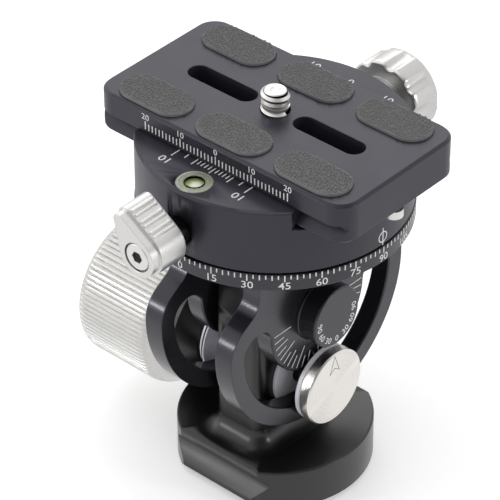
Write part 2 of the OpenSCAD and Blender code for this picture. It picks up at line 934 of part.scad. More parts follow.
// Block of the plate with its top and bottom edges chamfered all the way round
module plate_blank() {
    c = plate_chamfer;
    f = plate_foot_chamfer;
    r = plate_corner_r;
    ends = [[-f, 0], [0, f], [0, plate_h - c], [-c, plate_h]];
    long_side = [for (p = ends) [plate_l / 2 + p[0], p[1]]];
    short_side = [for (p = ends) [plate_w / 2 + p[0], p[1]]];
    rotate([90, 0, 0]) linear_extrude(plate_w - 2 * r, center = true)
        polygon(concat(long_side, [for (i = [3:-1:0]) [-long_side[i][0], long_side[i][1]]]));
    rotate([90, 0, 90]) linear_extrude(plate_l - 2 * r, center = true)
        polygon(concat(short_side, [for (i = [3:-1:0]) [-short_side[i][0], short_side[i][1]]]));
    for (x = [-1, 1], y = [-1, 1])
        translate([x * (plate_l / 2 - r), y * (plate_w / 2 - r), 0])
            turned(concat([[0, 0]], [for (p = ends) [r + p[0], p[1]]], [[0, plate_h]]));
}

// Dovetail notch along one long side, as an outline of Y and height over the plate's underside
module notch_outline() {
    half = plate_w / 2;
    polygon([
        [half + cut, notch_low - cut], [half - notch_depth, notch_low + notch_depth],
        [half - notch_depth, notch_high], [half + cut, notch_high]
    ]);
}

module quick_release_plate() {
    color(black) over_pan(plate_low) difference() {
        plate_blank();
        along_x(-plate_l) linear_extrude(2 * plate_l) {
            notch_outline();
            mirror([1, 0]) notch_outline();
        }
        for (side = [-1, 1]) {
            translate([side * slot_x, 0, -cut]) linear_extrude(plate_h + 2 * cut)
                stadium(slot_l, slot_w);
            translate([side * stop_x, 0, -cut]) cylinder(r = stop_shank_r, h = stop_hole_l + cut);
        }
        for (x = [-1:1], y = [-1, 1]) translate([x * pad_x, y * pad_y, plate_h - pad_sunk])
            linear_extrude(1) stadium(pad_l, pad_w);
        translate([0, 0, -cut]) cylinder(r = screw_r + screw_gap, h = plate_h + 2 * cut);
        translate([0, 0, -cut]) cylinder(r = head_r + head_gap, h = head_pocket_h + cut);
        translate([0, 0, clip_low - seat_gap]) cylinder(r = clip_out_r, h = clip_h + 2 * seat_gap);
    }
}

module grip_pads() {
    color(rubber) over_pan(plate_high - pad_sunk) for (x = [-1:1], y = [-1, 1])
        translate([x * pad_x, y * pad_y, 0]) linear_extrude(pad_sunk + pad_proud)
            stadium(pad_l, pad_w);
}

module safety_stop_screws() {
    color(steel) over_pan(plate_low - stop_h) for (side = [-1, 1])
        translate([side * stop_x, 0, 0]) difference() {
            union() {
                cylinder(r = stop_r, h = stop_h);
                cylinder(r = stop_shank_r, h = stop_h + stop_shank_l);
            }
            translate([0, 0, -cut]) hex_socket(stop_socket, stop_socket_depth + cut);
        }
}

module camera_screw() {
    top = plate_h + screw_proud - head_low;
    c = edge_break;
    color(steel) over_pan(plate_low + head_low) difference() {
        turned([
            [0, 0], [head_r - c, 0], [head_r, c], [head_r, head_h], [screw_neck_r, head_h],
            [screw_neck_r, plate_h - head_low + seat_gap], [screw_r, plate_h - head_low + seat_gap],
            [screw_r, top - screw_tip], [screw_r - screw_tip, top], [0, top]
        ]);
        translate([0, 0, -cut]) hex_socket(head_socket, head_socket_depth + cut);
    }
}

module screw_retaining_clip() {
    color(dark_steel) over_pan(plate_low + clip_low) washer(clip_out_r, clip_in_r, clip_h);
}

base_block();
base_thread_insert();
tilt_bushes();
pivot_washers();
friction_washers();
lock_bolt();
index_disc();
index_flange();
lock_washers();
knob_washer();
tilt_knob();
tilt_knob_insert();
tilt_knob_cap();
yoke();
tilt_pivot_pin();
tilt_dial();
pivot_cap();
pan_spindle();
pan_thrust_washer();
pan_retaining_washer();
pan_screw();
clamp_body();
jaw_guide_pins();
jaw_springs();
pan_lock_shoe();
level_cup();
level_vial();
level_lens();
moving_jaw();
clamp_knob();
clamp_screw();
clamp_knob_washer();
pan_lock_stem();
pan_lock_lever();
lever_cap_screw();
quick_release_plate();
grip_pads();
safety_stop_screws();
camera_screw();
screw_retaining_clip();
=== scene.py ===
"""Looks of a monopod tilt head: its finishes, engraved scales, rubber pads, threads and spirit level.

The construction comes from the frame, whose objects are in metres. The sizes in this script are in
millimetres, and are turned to metres where a mesh or a pattern is made.
"""

import logging
import math
from collections.abc import Callable, Sequence
from dataclasses import dataclass
from enum import Enum

import bmesh
import bpy
from mathutils import Matrix, Vector


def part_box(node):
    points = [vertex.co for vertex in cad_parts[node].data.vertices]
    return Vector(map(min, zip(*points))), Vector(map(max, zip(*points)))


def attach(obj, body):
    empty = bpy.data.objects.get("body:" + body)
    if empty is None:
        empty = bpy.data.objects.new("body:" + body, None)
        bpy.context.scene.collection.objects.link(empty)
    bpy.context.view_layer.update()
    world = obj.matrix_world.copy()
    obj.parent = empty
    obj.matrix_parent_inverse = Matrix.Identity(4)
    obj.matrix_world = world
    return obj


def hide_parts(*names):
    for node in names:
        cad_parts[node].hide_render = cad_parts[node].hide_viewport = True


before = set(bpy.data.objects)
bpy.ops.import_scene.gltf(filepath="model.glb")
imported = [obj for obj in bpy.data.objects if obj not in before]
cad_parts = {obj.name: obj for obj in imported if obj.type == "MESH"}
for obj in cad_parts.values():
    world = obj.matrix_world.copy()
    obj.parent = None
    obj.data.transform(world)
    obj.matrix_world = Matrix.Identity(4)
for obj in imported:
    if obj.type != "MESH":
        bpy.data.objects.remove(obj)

MM = 0.001
# How far painted marks stand over the surface, in millimetres
PROUD = 0.02
LOG = logging.getLogger("tilt_head")

Colour = tuple[float, float, float, float]
Pair = tuple[float, float]
Point = tuple[float, float, float]
Mesh = bpy.types.Mesh
Node = bpy.types.Node
Socket = bpy.types.NodeSocket
Tree = bpy.types.NodeTree


# Small helpers


def srgb(code: str) -> Colour:
    """Turns an sRGB hex colour to the linear colour that a shader takes.

    Args:
        code: The colour, such as "#1c1c1f".

    Returns:
        The linear red, green, blue and alpha.
    """
    parts = [int(code[i : i + 2], 16) / 255 for i in (1, 3, 5)]
    red, green, blue = (p / 12.92 if p <= 0.04045 else ((p + 0.055) / 1.055) ** 2.4 for p in parts)
    return (red, green, blue, 1.0)


def add_node(tree: Tree, kind: str, inputs: dict | None = None, **settings: object) -> Node:
    """Adds a node to a shader or geometry tree.

    Args:
        tree: The tree to add to.
        kind: The node's type, such as "ShaderNodeBump".
        inputs: Socket name or index to a value, or to another node's output, which is linked.
        **settings: The node's own settings, such as operation.

    Returns:
        The new node.
    """
    node = tree.nodes.new(kind)
    for name, value in settings.items():
        setattr(node, name, value)
    for key, value in (inputs or {}).items():
        if isinstance(value, Socket):
            tree.links.new(value, node.inputs[key])
        else:
            node.inputs[key].default_value = value
    return node


def metres(point: Point) -> Vector:
    """Returns a point in millimetres as a vector in metres."""
    return Vector(point) * MM


def put(name: str, data: bpy.types.ID) -> bpy.types.Object:
    """Links a new object that holds a mesh, curve, lamp or camera to the scene.

    Args:
        name: The object's name.
        data: What it holds.

    Returns:
        The object.
    """
    made = bpy.data.objects.new(name, data)
    bpy.context.scene.collection.objects.link(made)
    return made


def empty_tree(owner: bpy.types.Material | bpy.types.World) -> Tree:
    """Clears the node tree of a new material or world.

    Args:
        owner: The material or world.

    Returns:
        Its tree, without nodes.
    """
    owner.use_nodes = True
    owner.node_tree.nodes.clear()
    return owner.node_tree


# Finishes


@dataclass(frozen=True)
class Finish:
    """What all finishes share: the material's name and its main colour."""

    name: str
    colour: str

    def material(self) -> bpy.types.Material:
        """Makes the finish's material when it is first asked for.

        Returns:
            The material.
        """
        material = bpy.data.materials.get(self.name)
        if material is None:
            material = bpy.data.materials.new(self.name)
            tree = empty_tree(material)
            inputs = {"Base Color": srgb(self.colour), **self.inputs(tree)}
            shader = add_node(tree, "ShaderNodeBsdfPrincipled", inputs)
            add_node(tree, "ShaderNodeOutputMaterial", {"Surface": shader.outputs["BSDF"]})
        return material

    def inputs(self, tree: Tree) -> dict:
        """Makes the finish's patterns.

        Args:
            tree: The material's tree.

        Returns:
            The shader's values and patterns, by the name of the input.
        """
        raise NotImplementedError


def noise(tree: Tree, place: Socket, size_mm: float, detail: float = 2.0, dimensions: str = "3D"
          ) -> Socket:
    """Adds a noise whose blobs are about one real size.

    Args:
        tree: The material's tree.
        place: The coordinates, in metres, or one number for a noise of one dimension.
        size_mm: The size of a blob.
        detail: How many finer octaves it has.
        dimensions: "3D" or "1D".

    Returns:
        The noise's value, around 0.5.
    """
    key = "W" if dimensions == "1D" else "Vector"
    node = add_node(tree, "ShaderNodeTexNoise", {key: place, "Scale": 1 / (size_mm * MM), "Detail": detail},
                    noise_dimensions=dimensions)
    return node.outputs[0]


def spread(tree: Tree, value: Socket, low: float, high: float) -> Socket:
    """Stretches a noise's middle, 0.3 to 0.7, over a range.

    Args:
        tree: The material's tree.
        value: The noise.
        low: What 0.3 becomes.
        high: What 0.7 becomes.

    Returns:
        The new value.
    """
    node = add_node(tree, "ShaderNodeMapRange", {0: value, 1: 0.3, 2: 0.7, 3: low, 4: high})
    return node.outputs[0]


def tinted(tree: Tree, pattern: Socket, colour: str, change: float) -> Socket:
    """Mixes a colour with a lighter or darker shade of itself.

    Args:
        tree: The material's tree.
        pattern: A noise, whose high parts get the shade.
        colour: The colour, an sRGB hex code.
        change: What the shade's channels are, as a share of the colour's.

    Returns:
        The mixed colour.
    """
    base = srgb(colour)
    shade = tuple(min(1.0, c * change) for c in base[:3]) + (1.0,)
    factor = spread(tree, pattern, 0.0, 1.0)
    return add_node(tree, "ShaderNodeMix", {0: factor, 6: base, 7: shade}, data_type="RGBA").outputs[2]


def bumped(tree: Tree, height: Socket, depth_mm: float, **inputs: Socket) -> Socket:
    """Tilts the shading by a pattern.

    Args:
        tree: The material's tree.
        height: The pattern.
        depth_mm: How deep the pattern is.
        **inputs: The bump's other inputs.

    Returns:
        The normal.
    """
    inputs = {"Height": height, "Distance": depth_mm * MM, **inputs}
    return add_node(tree, "ShaderNodeBump", inputs).outputs["Normal"]


def vector_math(tree: Tree, operation: str, *values: Point | Socket, output: str = "Vector") -> Socket:
    """Adds a sum on vectors.

    Args:
        tree: The material's or world's tree.
        operation: The sum, such as "MULTIPLY".
        *values: Its inputs, in their order.
        output: "Vector", or "Value" for a sum that gives a number.

    Returns:
        The result.
    """
    inputs = dict(enumerate(values))
    return add_node(tree, "ShaderNodeVectorMath", inputs, operation=operation).outputs[output]


def object_place(tree: Tree) -> Socket:
    """Returns the piece's own coordinates, in metres."""
    return add_node(tree, "ShaderNodeTexCoord").outputs["Object"]


@dataclass(frozen=True)
class BlastedAnodising(Finish):
    """Aluminium blasted with fine beads and anodised.

    The beads leave a pebbled skin, so highlights are broad and soft. Dyed black, the film is what shows
    and the metal only lifts its sheen; left clear, the metal shows through it.
    """

    roughness: float = 0.42
    metallic: float = 0.0
    # Beads are about 0.1 mm; the grain is drawn coarser, to show in the picture
    grain_mm: float = 0.35
    grain_depth_mm: float = 0.006
    grain_shade: float = 1.12
    # The dye bath leaves faint clouds, which change the gloss
    cloud_mm: float = 9.0
    cloud_gloss: float = 0.03
    specular: float = 0.5
    # The film reflects a little more blue than red
    tint: str = "#ffffff"
    # A cutter's marks are drawn out along an axis, where this is less than 1
    draw: Point = (1.0, 1.0, 1.0)
    # Edges are broken by hand or by a small chamfer, which catches the light as a thin line
    edge_mm: float = 0.3

    def inputs(self, tree: Tree) -> dict:
        """Adds the beads' grain, the bath's clouds and the broken edges.

        Args:
            tree: The material's tree.

        Returns:
            The shader's inputs.
        """
        place = object_place(tree)
        grain = noise(tree, vector_math(tree, "MULTIPLY", place, self.draw), self.grain_mm)
        clouds = noise(tree, place, self.cloud_mm)
        edges = add_node(tree, "ShaderNodeBevel", {"Radius": self.edge_mm * MM}, samples=6)
        return {
            "Base Color": tinted(tree, grain, self.colour, self.grain_shade),
            "Roughness": spread(tree, clouds, self.roughness - self.cloud_gloss,
                                self.roughness + self.cloud_gloss),
            "Normal": bumped(tree, grain, self.grain_depth_mm, Normal=edges.outputs["Normal"]),
            "Metallic": self.metallic,
            "Specular IOR Level": self.specular,
            "Specular Tint": srgb(self.tint),
        }


@dataclass(frozen=True)
class TurnedMetal(Finish):
    """Metal faced on a lathe.

    The tool leaves fine rings round the axis, which stretch what the metal reflects.
    """

    axis: Point = (1.0, 0.0, 0.0)
    centre: Point = (0.0, 0.0, 0.0)
    roughness: float = 0.3
    # The tool's feed is about 0.1 mm a turn; the rings are drawn coarser, to show in the picture
    ring_mm: float = 0.22
    ring_depth_mm: float = 0.002
    ring_shade: float = 0.95
    ring_gloss: float = 0.05
    stretch: float = 0.75

    def inputs(self, tree: Tree) -> dict:
        """Adds the rings, and a direction round the axis for the stretch.

        Args:
            tree: The material's tree.

        Returns:
            The shader's inputs.
        """
        off = vector_math(tree, "SUBTRACT", object_place(tree), metres(self.centre))
        across = vector_math(tree, "CROSS_PRODUCT", self.axis, off)
        rings = noise(tree, vector_math(tree, "LENGTH", across, output="Value"), self.ring_mm, 1.0, "1D")
        return {
            "Base Color": tinted(tree, rings, self.colour, self.ring_shade),
            "Roughness": spread(tree, rings, self.roughness - self.ring_gloss,
                                self.roughness + self.ring_gloss),
            "Normal": bumped(tree, rings, self.ring_depth_mm),
            "Tangent": vector_math(tree, "NORMALIZE", across),
            "Metallic": 1.0,
            "Anisotropic": self.stretch,
        }


@dataclass(frozen=True)
class DrawnMetal(Finish):
    """Bare metal as it comes from a screw machine: bright, with small marks that change its gloss."""

    roughness: float = 0.28
    mark_mm: float = 0.3
    mark_shade: float = 0.88
    # How far the marks change the roughness each way
    mark_gloss: Pair = (-0.06, 0.08)

    def inputs(self, tree: Tree) -> dict:
        """Adds the marks.

        Args:
            tree: The material's tree.

        Returns:
            The shader's inputs.
        """
        marks = noise(tree, object_place(tree), self.mark_mm, 3.0)
        low, high = (self.roughness + change for change in self.mark_gloss)
        return {
            "Base Color": tinted(tree, marks, self.colour, self.mark_shade),
            "Roughness": spread(tree, marks, low, high),
            "Metallic": 1.0,
        }


@dataclass(frozen=True)
class MouldedRubber(Finish):
    """Nitrile rubber from a spark-eroded mould: matt, with a fine crackle over its pebbles."""

    roughness: float = 0.78
    crackle_mm: float = 0.28
    crackle_depth_mm: float = 0.05
    crackle_shade: float = 2.3
    dust_mm: float = 3.0
    dust_gloss: float = 0.05

    def inputs(self, tree: Tree) -> dict:
        """Adds the crackle and a dusty change of gloss.

        Args:
            tree: The material's tree.

        Returns:
            The shader's inputs.
        """
        place = object_place(tree)
        crackle = noise(tree, place, self.crackle_mm, 3.0)
        dust = noise(tree, place, self.dust_mm)
        return {
            "Base Color": tinted(tree, crackle, self.colour, self.crackle_shade),
            "Roughness": spread(tree, dust, self.roughness - self.dust_gloss,
                                self.roughness + self.dust_gloss),
            "Normal": bumped(tree, crackle, self.crackle_depth_mm),
        }


@dataclass(frozen=True)
class PlainCoat(Finish):
    """A paint or a polymer: smooth, and a little uneven in its whiteness."""

    roughness: float = 0.5
    blotch_mm: float = 1.0
    blotch_shade: float = 0.9

    def inputs(self, tree: Tree) -> dict:
        """Adds the unevenness.

        Args:
            tree: The material's tree.

        Returns:
            The shader's inputs.
        """
        uneven = noise(tree, object_place(tree), self.blotch_mm)
        return {"Base Color": tinted(tree, uneven, self.colour, self.blotch_shade),
                "Roughness": self.roughness}


@dataclass(frozen=True)
class MarkingPaint(PlainCoat):
    """Enamel wiped into an engraved line, which leaves it thinner in places."""

    roughness: float = 0.55
    blotch_mm: float = 0.6
    blotch_shade: float = 0.82


@dataclass(frozen=True)
class SlidingPolymer(PlainCoat):
    """Nylon or filled PTFE skived from a rod: waxy and pale, with faint bands from the blade."""

    blotch_mm: float = 1.2
    blotch_shade: float = 0.93


@dataclass(frozen=True)
class ClearAcrylic(Finish):
    """Polished acrylic, or a liquid behind it: light goes through it and it bends as in plastic."""

    roughness: float = 0.05
    through: float = 1.0
    ior: float = 1.49
    # The mould leaves faint waves
    wave_mm: float = 2.5
    wave_depth_mm: float = 0.01

    def inputs(self, tree: Tree) -> dict:
        """Sets how much light goes through, and adds the waves.

        Args:
            tree: The material's tree.

        Returns:
            The shader's inputs.
        """
        waves = noise(tree, object_place(tree), self.wave_mm)
        return {
            "Normal": bumped(tree, waves, self.wave_depth_mm),
            "Roughness": self.roughness,
            "Transmission Weight": self.through,
            "IOR": self.ior,
        }


# Heights of the tilt axis and of the lock bolt's axis
TILT_Z = 46.9
LOCK_Z = 27.2

BLACK_SATIN = BlastedAnodising("black_satin_anodising", "#24242b", roughness=0.38, tint="#f0f0ff")
BLACK_MILLED = BlastedAnodising("black_milled_anodising", "#17171b", roughness=0.25, grain_mm=0.3,
                                grain_depth_mm=0.006, specular=0.7, tint="#f2f2ff", draw=(0.06, 1.0, 1.0))
BLACK_GLOSSY = BlastedAnodising("black_glossy_anodising", "#0b0b0d", roughness=0.33, grain_depth_mm=0.002,
                                specular=0.6)
SILVER_SATIN = BlastedAnodising("clear_satin_anodising", "#d4d3d1", roughness=0.36, metallic=1.0,
                                grain_depth_mm=0.004)
SPUN_STEEL = TurnedMetal("spun_stainless_steel", "#e9e6e1", centre=(0.0, 0.0, LOCK_Z), roughness=0.24,
                         ring_depth_mm=0.0005, stretch=0.95)
BRIGHT_STEEL = DrawnMetal("bright_steel", "#cfccc6")
BLACKED_STEEL = DrawnMetal("blacked_steel", "#2c2c2e", roughness=0.38)
BRASS = DrawnMetal("turned_brass", "#c9a765", roughness=0.32)
PAD_RUBBER = MouldedRubber("pad_rubber", "#2b2c2d")
WHITE_MARK = MarkingPaint("white_marking_paint", "#e9e9e7")
DARK_MARK = MarkingPaint("dark_marking_paint", "#3a3a3c")
NYLON = SlidingPolymer("white_nylon", "#f8f7ff", roughness=0.32)
SLIDING = SlidingPolymer("sliding_polymer", "#dcdcd6")
SILVER_KNOB = BlastedAnodising("clear_knob_anodising", "#c3c2c0", roughness=0.33, metallic=1.0,
                               grain_depth_mm=0.002)
HOUSING = ClearAcrylic("level_housing_acrylic", "#b9bdb0", roughness=0.18, through=0.75)
BLACK_RING = DrawnMetal("level_ring_black", "#161616", roughness=0.5)
BUBBLE = ClearAcrylic("level_bubble_air", "#f4fae6", roughness=0.12, through=0.15)
SPIRIT = ClearAcrylic("level_spirit", "#c6d66a", through=0.35, ior=1.36)
WINDOW = ClearAcrylic("level_window", "#f2f6f0")

# The CAD nodes in each finish, hidden ones too
DRESSED_NODES: tuple[tuple[Finish, str], ...] = (
    (BLACK_GLOSSY, "base_block"),
    (BLACK_MILLED, "yoke tilt_dial"),
    (BLACK_SATIN, "pivot_cap clamp_body moving_jaw quick_release_plate"),
    (SILVER_SATIN, "tilt_knob tilt_knob_cap clamp_knob pan_lock_lever"),
    (SPUN_STEEL, "index_disc"),
    (BRIGHT_STEEL, "pan_spindle pan_retaining_washer jaw_guide_pins jaw_springs level_cup lever_cap_screw"
                   " safety_stop_screws camera_screw"),
    (BLACKED_STEEL, "pivot_washers lock_bolt lock_washers tilt_pivot_pin pan_screw clamp_screw"
                    " clamp_knob_washer pan_lock_stem screw_retaining_clip"),
    (BRASS, "base_thread_insert tilt_bushes tilt_knob_insert pan_lock_shoe"),
    (NYLON, "friction_washers index_flange knob_washer"),
    (SLIDING, "pan_thrust_washer"),
    (PAD_RUBBER, "grip_pads"),
    (SPIRIT, "level_vial"),
    (WINDOW, "level_lens"),
)


def dress_frame() -> None:
    """Gives every CAD node its finish."""
    for finish, names in DRESSED_NODES:
        for name in names.split():
            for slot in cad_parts[name].material_slots:
                slot.material = finish.material()


# Making meshes, in millimetres


class Lay(Enum):
    """Where the x, y and height of a piece drawn flat point on the object."""

    ALONG_X = ((0, 1, 0), (0, 0, 1), (1, 0, 0))
    ALONG_MINUS_X = ((0, 0, 1), (0, 1, 0), (-1, 0, 0))
    TO_FRONT = ((1, 0, 0), (0, 0, 1), (0, -1, 0))
    TO_BACK = ((-1, 0, 0), (0, 0, 1), (0, 1, 0))

    def at(self, x: float = 0.0, y: float = 0.0, z: float = 0.0) -> Matrix:
        """Returns the matrix that turns a piece this way and moves it to a point."""
        return Matrix.Translation((x, y, z)) @ Matrix(self.value).transposed().to_4x4()


def arc(centre: Pair | Vector, radius: float, start: float, end: float, steps: int) -> list[Pair]:
    """Lists points on an arc, with both its ends.

    Args:
        centre: Its middle.
        radius: Its radius.
        start: The first point's angle, in radians from x towards y.
        end: The last point's angle.
        steps: Parts between them.

    Returns:
        The points.
    """
    angles = (start + (end - start) * i / steps for i in range(steps + 1))
    return [(centre[0] + radius * math.cos(a), centre[1] + radius * math.sin(a)) for a in angles]


def polygon(radius: float, sides: int, centre: Pair | Vector = (0.0, 0.0)) -> list[Pair]:
    """Outlines an even polygon with a corner towards x, whose corners are at a radius."""
    return arc(centre, radius, 0.0, 2 * math.pi, sides)[:-1]


def belt(radius: float, tip: Pair, tip_radius: float, steps: int = 24) -> list[Pair]:
    """Outlines a flat wing: two round ends joined by straight sides.

    Args:
        radius: The radius round the origin.
        tip: The middle of the other end.
        tip_radius: The other end's radius.
        steps: Parts of each round end.

    Returns:
        The outline, turning left.
    """
    turn = math.atan2(tip[1], tip[0])
    half = math.acos((radius - tip_radius) / math.hypot(*tip))
    return (arc(tip, tip_radius, turn - half, turn + half, steps)
            + arc((0.0, 0.0), radius, turn + half, turn - half + 2 * math.pi, steps))


def rounded_rectangle(half_x: float, half_y: float, corner_r: float, steps: int) -> list[Pair]:
    """Outlines a centred rectangle with round corners, turning left.

    Args:
        half_x: Half its length along x.
        half_y: Half its length along y.
        corner_r: Radius of its corners.
        steps: Parts of each corner.

    Returns:
        The outline.
    """
    points = []
    for quarter, (sx, sy) in enumerate(((1, 1), (-1, 1), (-1, -1), (1, -1))):
        corner = (sx * (half_x - corner_r), sy * (half_y - corner_r))
        points += arc(corner, corner_r, math.pi / 2 * quarter, math.pi / 2 * (quarter + 1), steps)
    return points


def stadium(length: float, width: float, steps: int = 20) -> list[Pair]:
    """Outlines a pad with round ends, centred, along x.

    Args:
        length: Its whole length.
        width: Its width.
        steps: Parts of each round end.

    Returns:
        The outline, turning left.
    """
    reach, quarter = (length - width) / 2, math.pi / 2
    return (arc((reach, 0.0), width / 2, -quarter, quarter, steps)
            + arc((-reach, 0.0), width / 2, quarter, 3 * quarter, steps))


class Workpiece:
    """A mesh in the making, in millimetres. Its steps return it, so that they can follow each other."""

    def __init__(self) -> None:
        """Starts with nothing."""
        self.build = bmesh.new()

    def turn(self, outline: Sequence[Pair], segments: int = 96, place: Matrix = Matrix(),
             ring: bool = False) -> "Workpiece":
        """Turns an outline of radius and height round the z axis.

        Args:
            outline: Points of radius and height. Unless it is a ring it starts and ends on the axis.
            segments: Points round the axis.
            place: How the piece is turned and moved afterwards.
            ring: Joins the last point to the first, for a piece with a hole.

        Returns:
            The workpiece.
        """
        rings = []
        for radius, height in outline:
            count = segments if radius > 0 else 1
            rings.append([
                self.build.verts.new(place @ Vector((radius * math.cos(a), radius * math.sin(a), height)))
                for a in (2 * math.pi * i / count for i in range(count))
            ])
        pairs = list(zip(rings, rings[1:]))
        if ring:
            pairs.append((rings[-1], rings[0]))
        for low, high in pairs:
            for i in range(segments):
                j = (i + 1) % segments
                corners = [low[i % len(low)], low[j % len(low)], high[j % len(high)], high[i % len(high)]]
                self.build.faces.new(list(dict.fromkeys(corners)))
        return self

    def loft(self, sections: Sequence[tuple[Sequence[Pair], float]], place: Matrix = Matrix()) -> "Workpiece":
        """Joins outlines of the same number of points, each at its height.

        Args:
            sections: Each outline, turning left, and its height.
            place: How the piece is turned and moved afterwards.

        Returns:
            The workpiece.
        """
        loops = [[self.build.verts.new(place @ Vector((x, y, height))) for x, y in outline]
                 for outline, height in sections]
        self.build.faces.new(list(reversed(loops[0])))
        self.build.faces.new(loops[-1])
        for low, high in zip(loops, loops[1:]):
            for i in range(len(low)):
                j = (i + 1) % len(low)
                self.build.faces.new((low[i], low[j], high[j], high[i]))
        return self

    def extrude(self, outline: Sequence[Pair], low: float, high: float, place: Matrix = Matrix(),
                grow: float = 1.0) -> "Workpiece":
        """Extrudes an outline from one height to another.

        Args:
            outline: Points of x and y.
            low: Height of the first end.
            high: Height of the other end.
            place: How the piece is turned and moved afterwards.
            grow: Size of the other end's outline, as a share of the first's.

        Returns:
            The workpiece.
        """
        return self.loft([(outline, low), ([(x * grow, y * grow) for x, y in outline], high)], place)

    def add(self, mesh: Mesh, place: Matrix = Matrix()) -> "Workpiece":
        """Adds a mesh.

        Args:
            mesh: The mesh, which isn't changed.
            place: How it is turned and moved.

        Returns:
            The workpiece.
        """
        copy = mesh.copy()
        copy.transform(place)
        self.build.from_mesh(copy)
        bpy.data.meshes.remove(copy)
        return self

    def soften(self, width: float, segments: int = 2, least_degrees: float = 35.0) -> "Workpiece":
        """Rounds every edge that is sharper than an angle.

        Args:
            width: How far the rounding reaches from the edge.
            segments: Parts of the rounding.
            least_degrees: The angle.

        Returns:
            The workpiece.
        """
        sharp = [e for e in self.build.edges
                 if len(e.link_faces) == 2 and math.degrees(e.calc_face_angle(0.0)) > least_degrees]
        bmesh.ops.bevel(self.build, geom=sharp, offset=width, segments=segments, profile=0.5,
                        affect="EDGES", clamp_overlap=True)
        return self

    def mesh(self, name: str) -> Mesh:
        """Ends the work.

        Args:
            name: The mesh's name.

        Returns:
            The mesh, with its faces pointing outwards.
        """
        bmesh.ops.recalc_face_normals(self.build, faces=self.build.faces)
        mesh = bpy.data.meshes.new(name)
        self.build.to_mesh(mesh)
        self.build.free()
        return mesh

    def piece(self, name: str, body: str, finish: Finish, slot: str = "", replaced: tuple[str, ...] = (),
              smooth_degrees: float = 32.0) -> bpy.types.Object:
        """Makes it a piece of the object.

        Args:
            name: The piece's name.
            body: The body that it rides on.
            finish: Its finish.
            slot: The record's material slot, or nothing for paint; not used.
            replaced: CAD nodes that it stands for.
            smooth_degrees: Edges sharper than this stay sharp.

        Returns:
            The new object.
        """
        mesh = self.mesh(name)
        mesh.transform(Matrix.Scale(MM, 4))
        mesh.shade_smooth()
        mesh.set_sharp_from_angle(angle=math.radians(smooth_degrees))
        mesh = evaluated(mesh, flatten_large_faces)
        mesh.name = name
        mesh.materials.clear()
        mesh.materials.append(finish.material())
        piece = put(name, mesh)
        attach(piece, body)
        if replaced:
            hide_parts(*replaced)
        LOG.info("%s: %d faces on %s", name, len(mesh.polygons), body)
        return piece


def flatten_large_faces(host: bpy.types.Object) -> None:
    """Weights the shading of an edge towards its larger face, so that flats look flat.

    Args:
        host: The object that gets the modifier.
    """
    modifier = host.modifiers.new("flat", "WEIGHTED_NORMAL")
    modifier.keep_sharp = True
    modifier.weight = 80


def evaluated(mesh: Mesh, prepare: Callable[[bpy.types.Object], None]) -> Mesh:
    """Runs modifiers on a mesh.

    Args:
        mesh: The mesh to start from.
        prepare: Adds the modifiers to an object that holds it.

    Returns:
        The result as a plain mesh.
    """
    host = put("host", mesh)
    prepare(host)
    graph = bpy.context.evaluated_depsgraph_get()
    result = bpy.data.meshes.new_from_object(host.evaluated_get(graph))
    host.modifiers.clear()
    bpy.data.objects.remove(host)
    return result


def carved(mesh: Mesh, tool: Mesh, operation: str = "DIFFERENCE") -> Mesh:
    """Cuts, joins or intersects a closed mesh with another.

    Args:
        mesh: The mesh that is worked on.
        tool: The other mesh.
        operation: "DIFFERENCE" or "UNION".

    Returns:
        The result as a new mesh.
    """
    cutter = put("cutter", tool)

    def prepare(host: bpy.types.Object) -> None:
        """Adds the boolean.

        Args:
            host: The object that gets it.
        """
        modifier = host.modifiers.new("carve", "BOOLEAN")
        modifier.object = cutter
        modifier.operation = operation
        modifier.solver = "EXACT"

    result = evaluated(mesh, prepare)
    bpy.data.objects.remove(cutter)
    return result


def cad_copy(node: str) -> Mesh:
    """Copies a CAD node's mesh.

    Args:
        node: The node.

    Returns:
        The copy in millimetres, with the points merged that lie on each other.
    """
    build = bmesh.new()
    build.from_mesh(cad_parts[node].data)
    build.transform(Matrix.Scale(1 / MM, 4))
    bmesh.ops.remove_doubles(build, verts=build.verts, dist=0.002)
    mesh = bpy.data.meshes.new(node + "_copy")
    build.to_mesh(mesh)
    build.free()
    return mesh


# The object's figures are wider and bolder than the type's, as shares of the type's size
FIGURE_WIDTH = 1.12
FIGURE_BOLD = 0.003


def lettering(text: str, height: float, thick: float = 2 * PROUD) -> Mesh:
    """Makes a word or number lying on the XY plane, centred, as a closed solid.

    Args:
        text: What it says.
        height: Height of its figures.
        thick: Its thickness, half of it each way.

    Returns:
        The mesh.
    """
    curve = bpy.data.curves.new("lettering", "FONT")
    curve.body = text
    curve.align_x = "CENTER"
    curve.size = 1.0
    curve.offset = FIGURE_BOLD
    curve.extrude = 0.5
    curve.resolution_u = 3
    word = put("lettering", curve)
    graph = bpy.context.evaluated_depsgraph_get()
    mesh = bpy.data.meshes.new_from_object(word.evaluated_get(graph))
    bpy.data.objects.remove(word)
    low = min(v.co.y for v in mesh.vertices)
    tall = max(v.co.y for v in mesh.vertices) - low
    scale = height / tall
    stretch = Matrix.Diagonal((FIGURE_WIDTH * scale, scale, thick, 1.0))
    mesh.transform(stretch @ Matrix.Translation((0, -low - tall / 2, 0)))
    build = bmesh.new()
    build.from_mesh(mesh)
    bmesh.ops.remove_doubles(build, verts=build.verts, dist=0.001)
    build.to_mesh(mesh)
    build.free()
    return mesh


def wrap_on_ring(mesh: Mesh, radius: float, degrees: float, height: float) -> None:
    """Bends a flat mark round the upright axis.

    Args:
        mesh: The mark on the XY plane, which is changed.
        radius: Radius of the surface that it lies on.
        degrees: Its place, from the front towards +X.
        height: Height of its middle.
    """
    for vertex in mesh.vertices:
        x, y, z = vertex.co
        angle = math.radians(degrees) + x / radius
        reach = radius + z
        vertex.co = (reach * math.sin(angle), -reach * math.cos(angle), height + y)


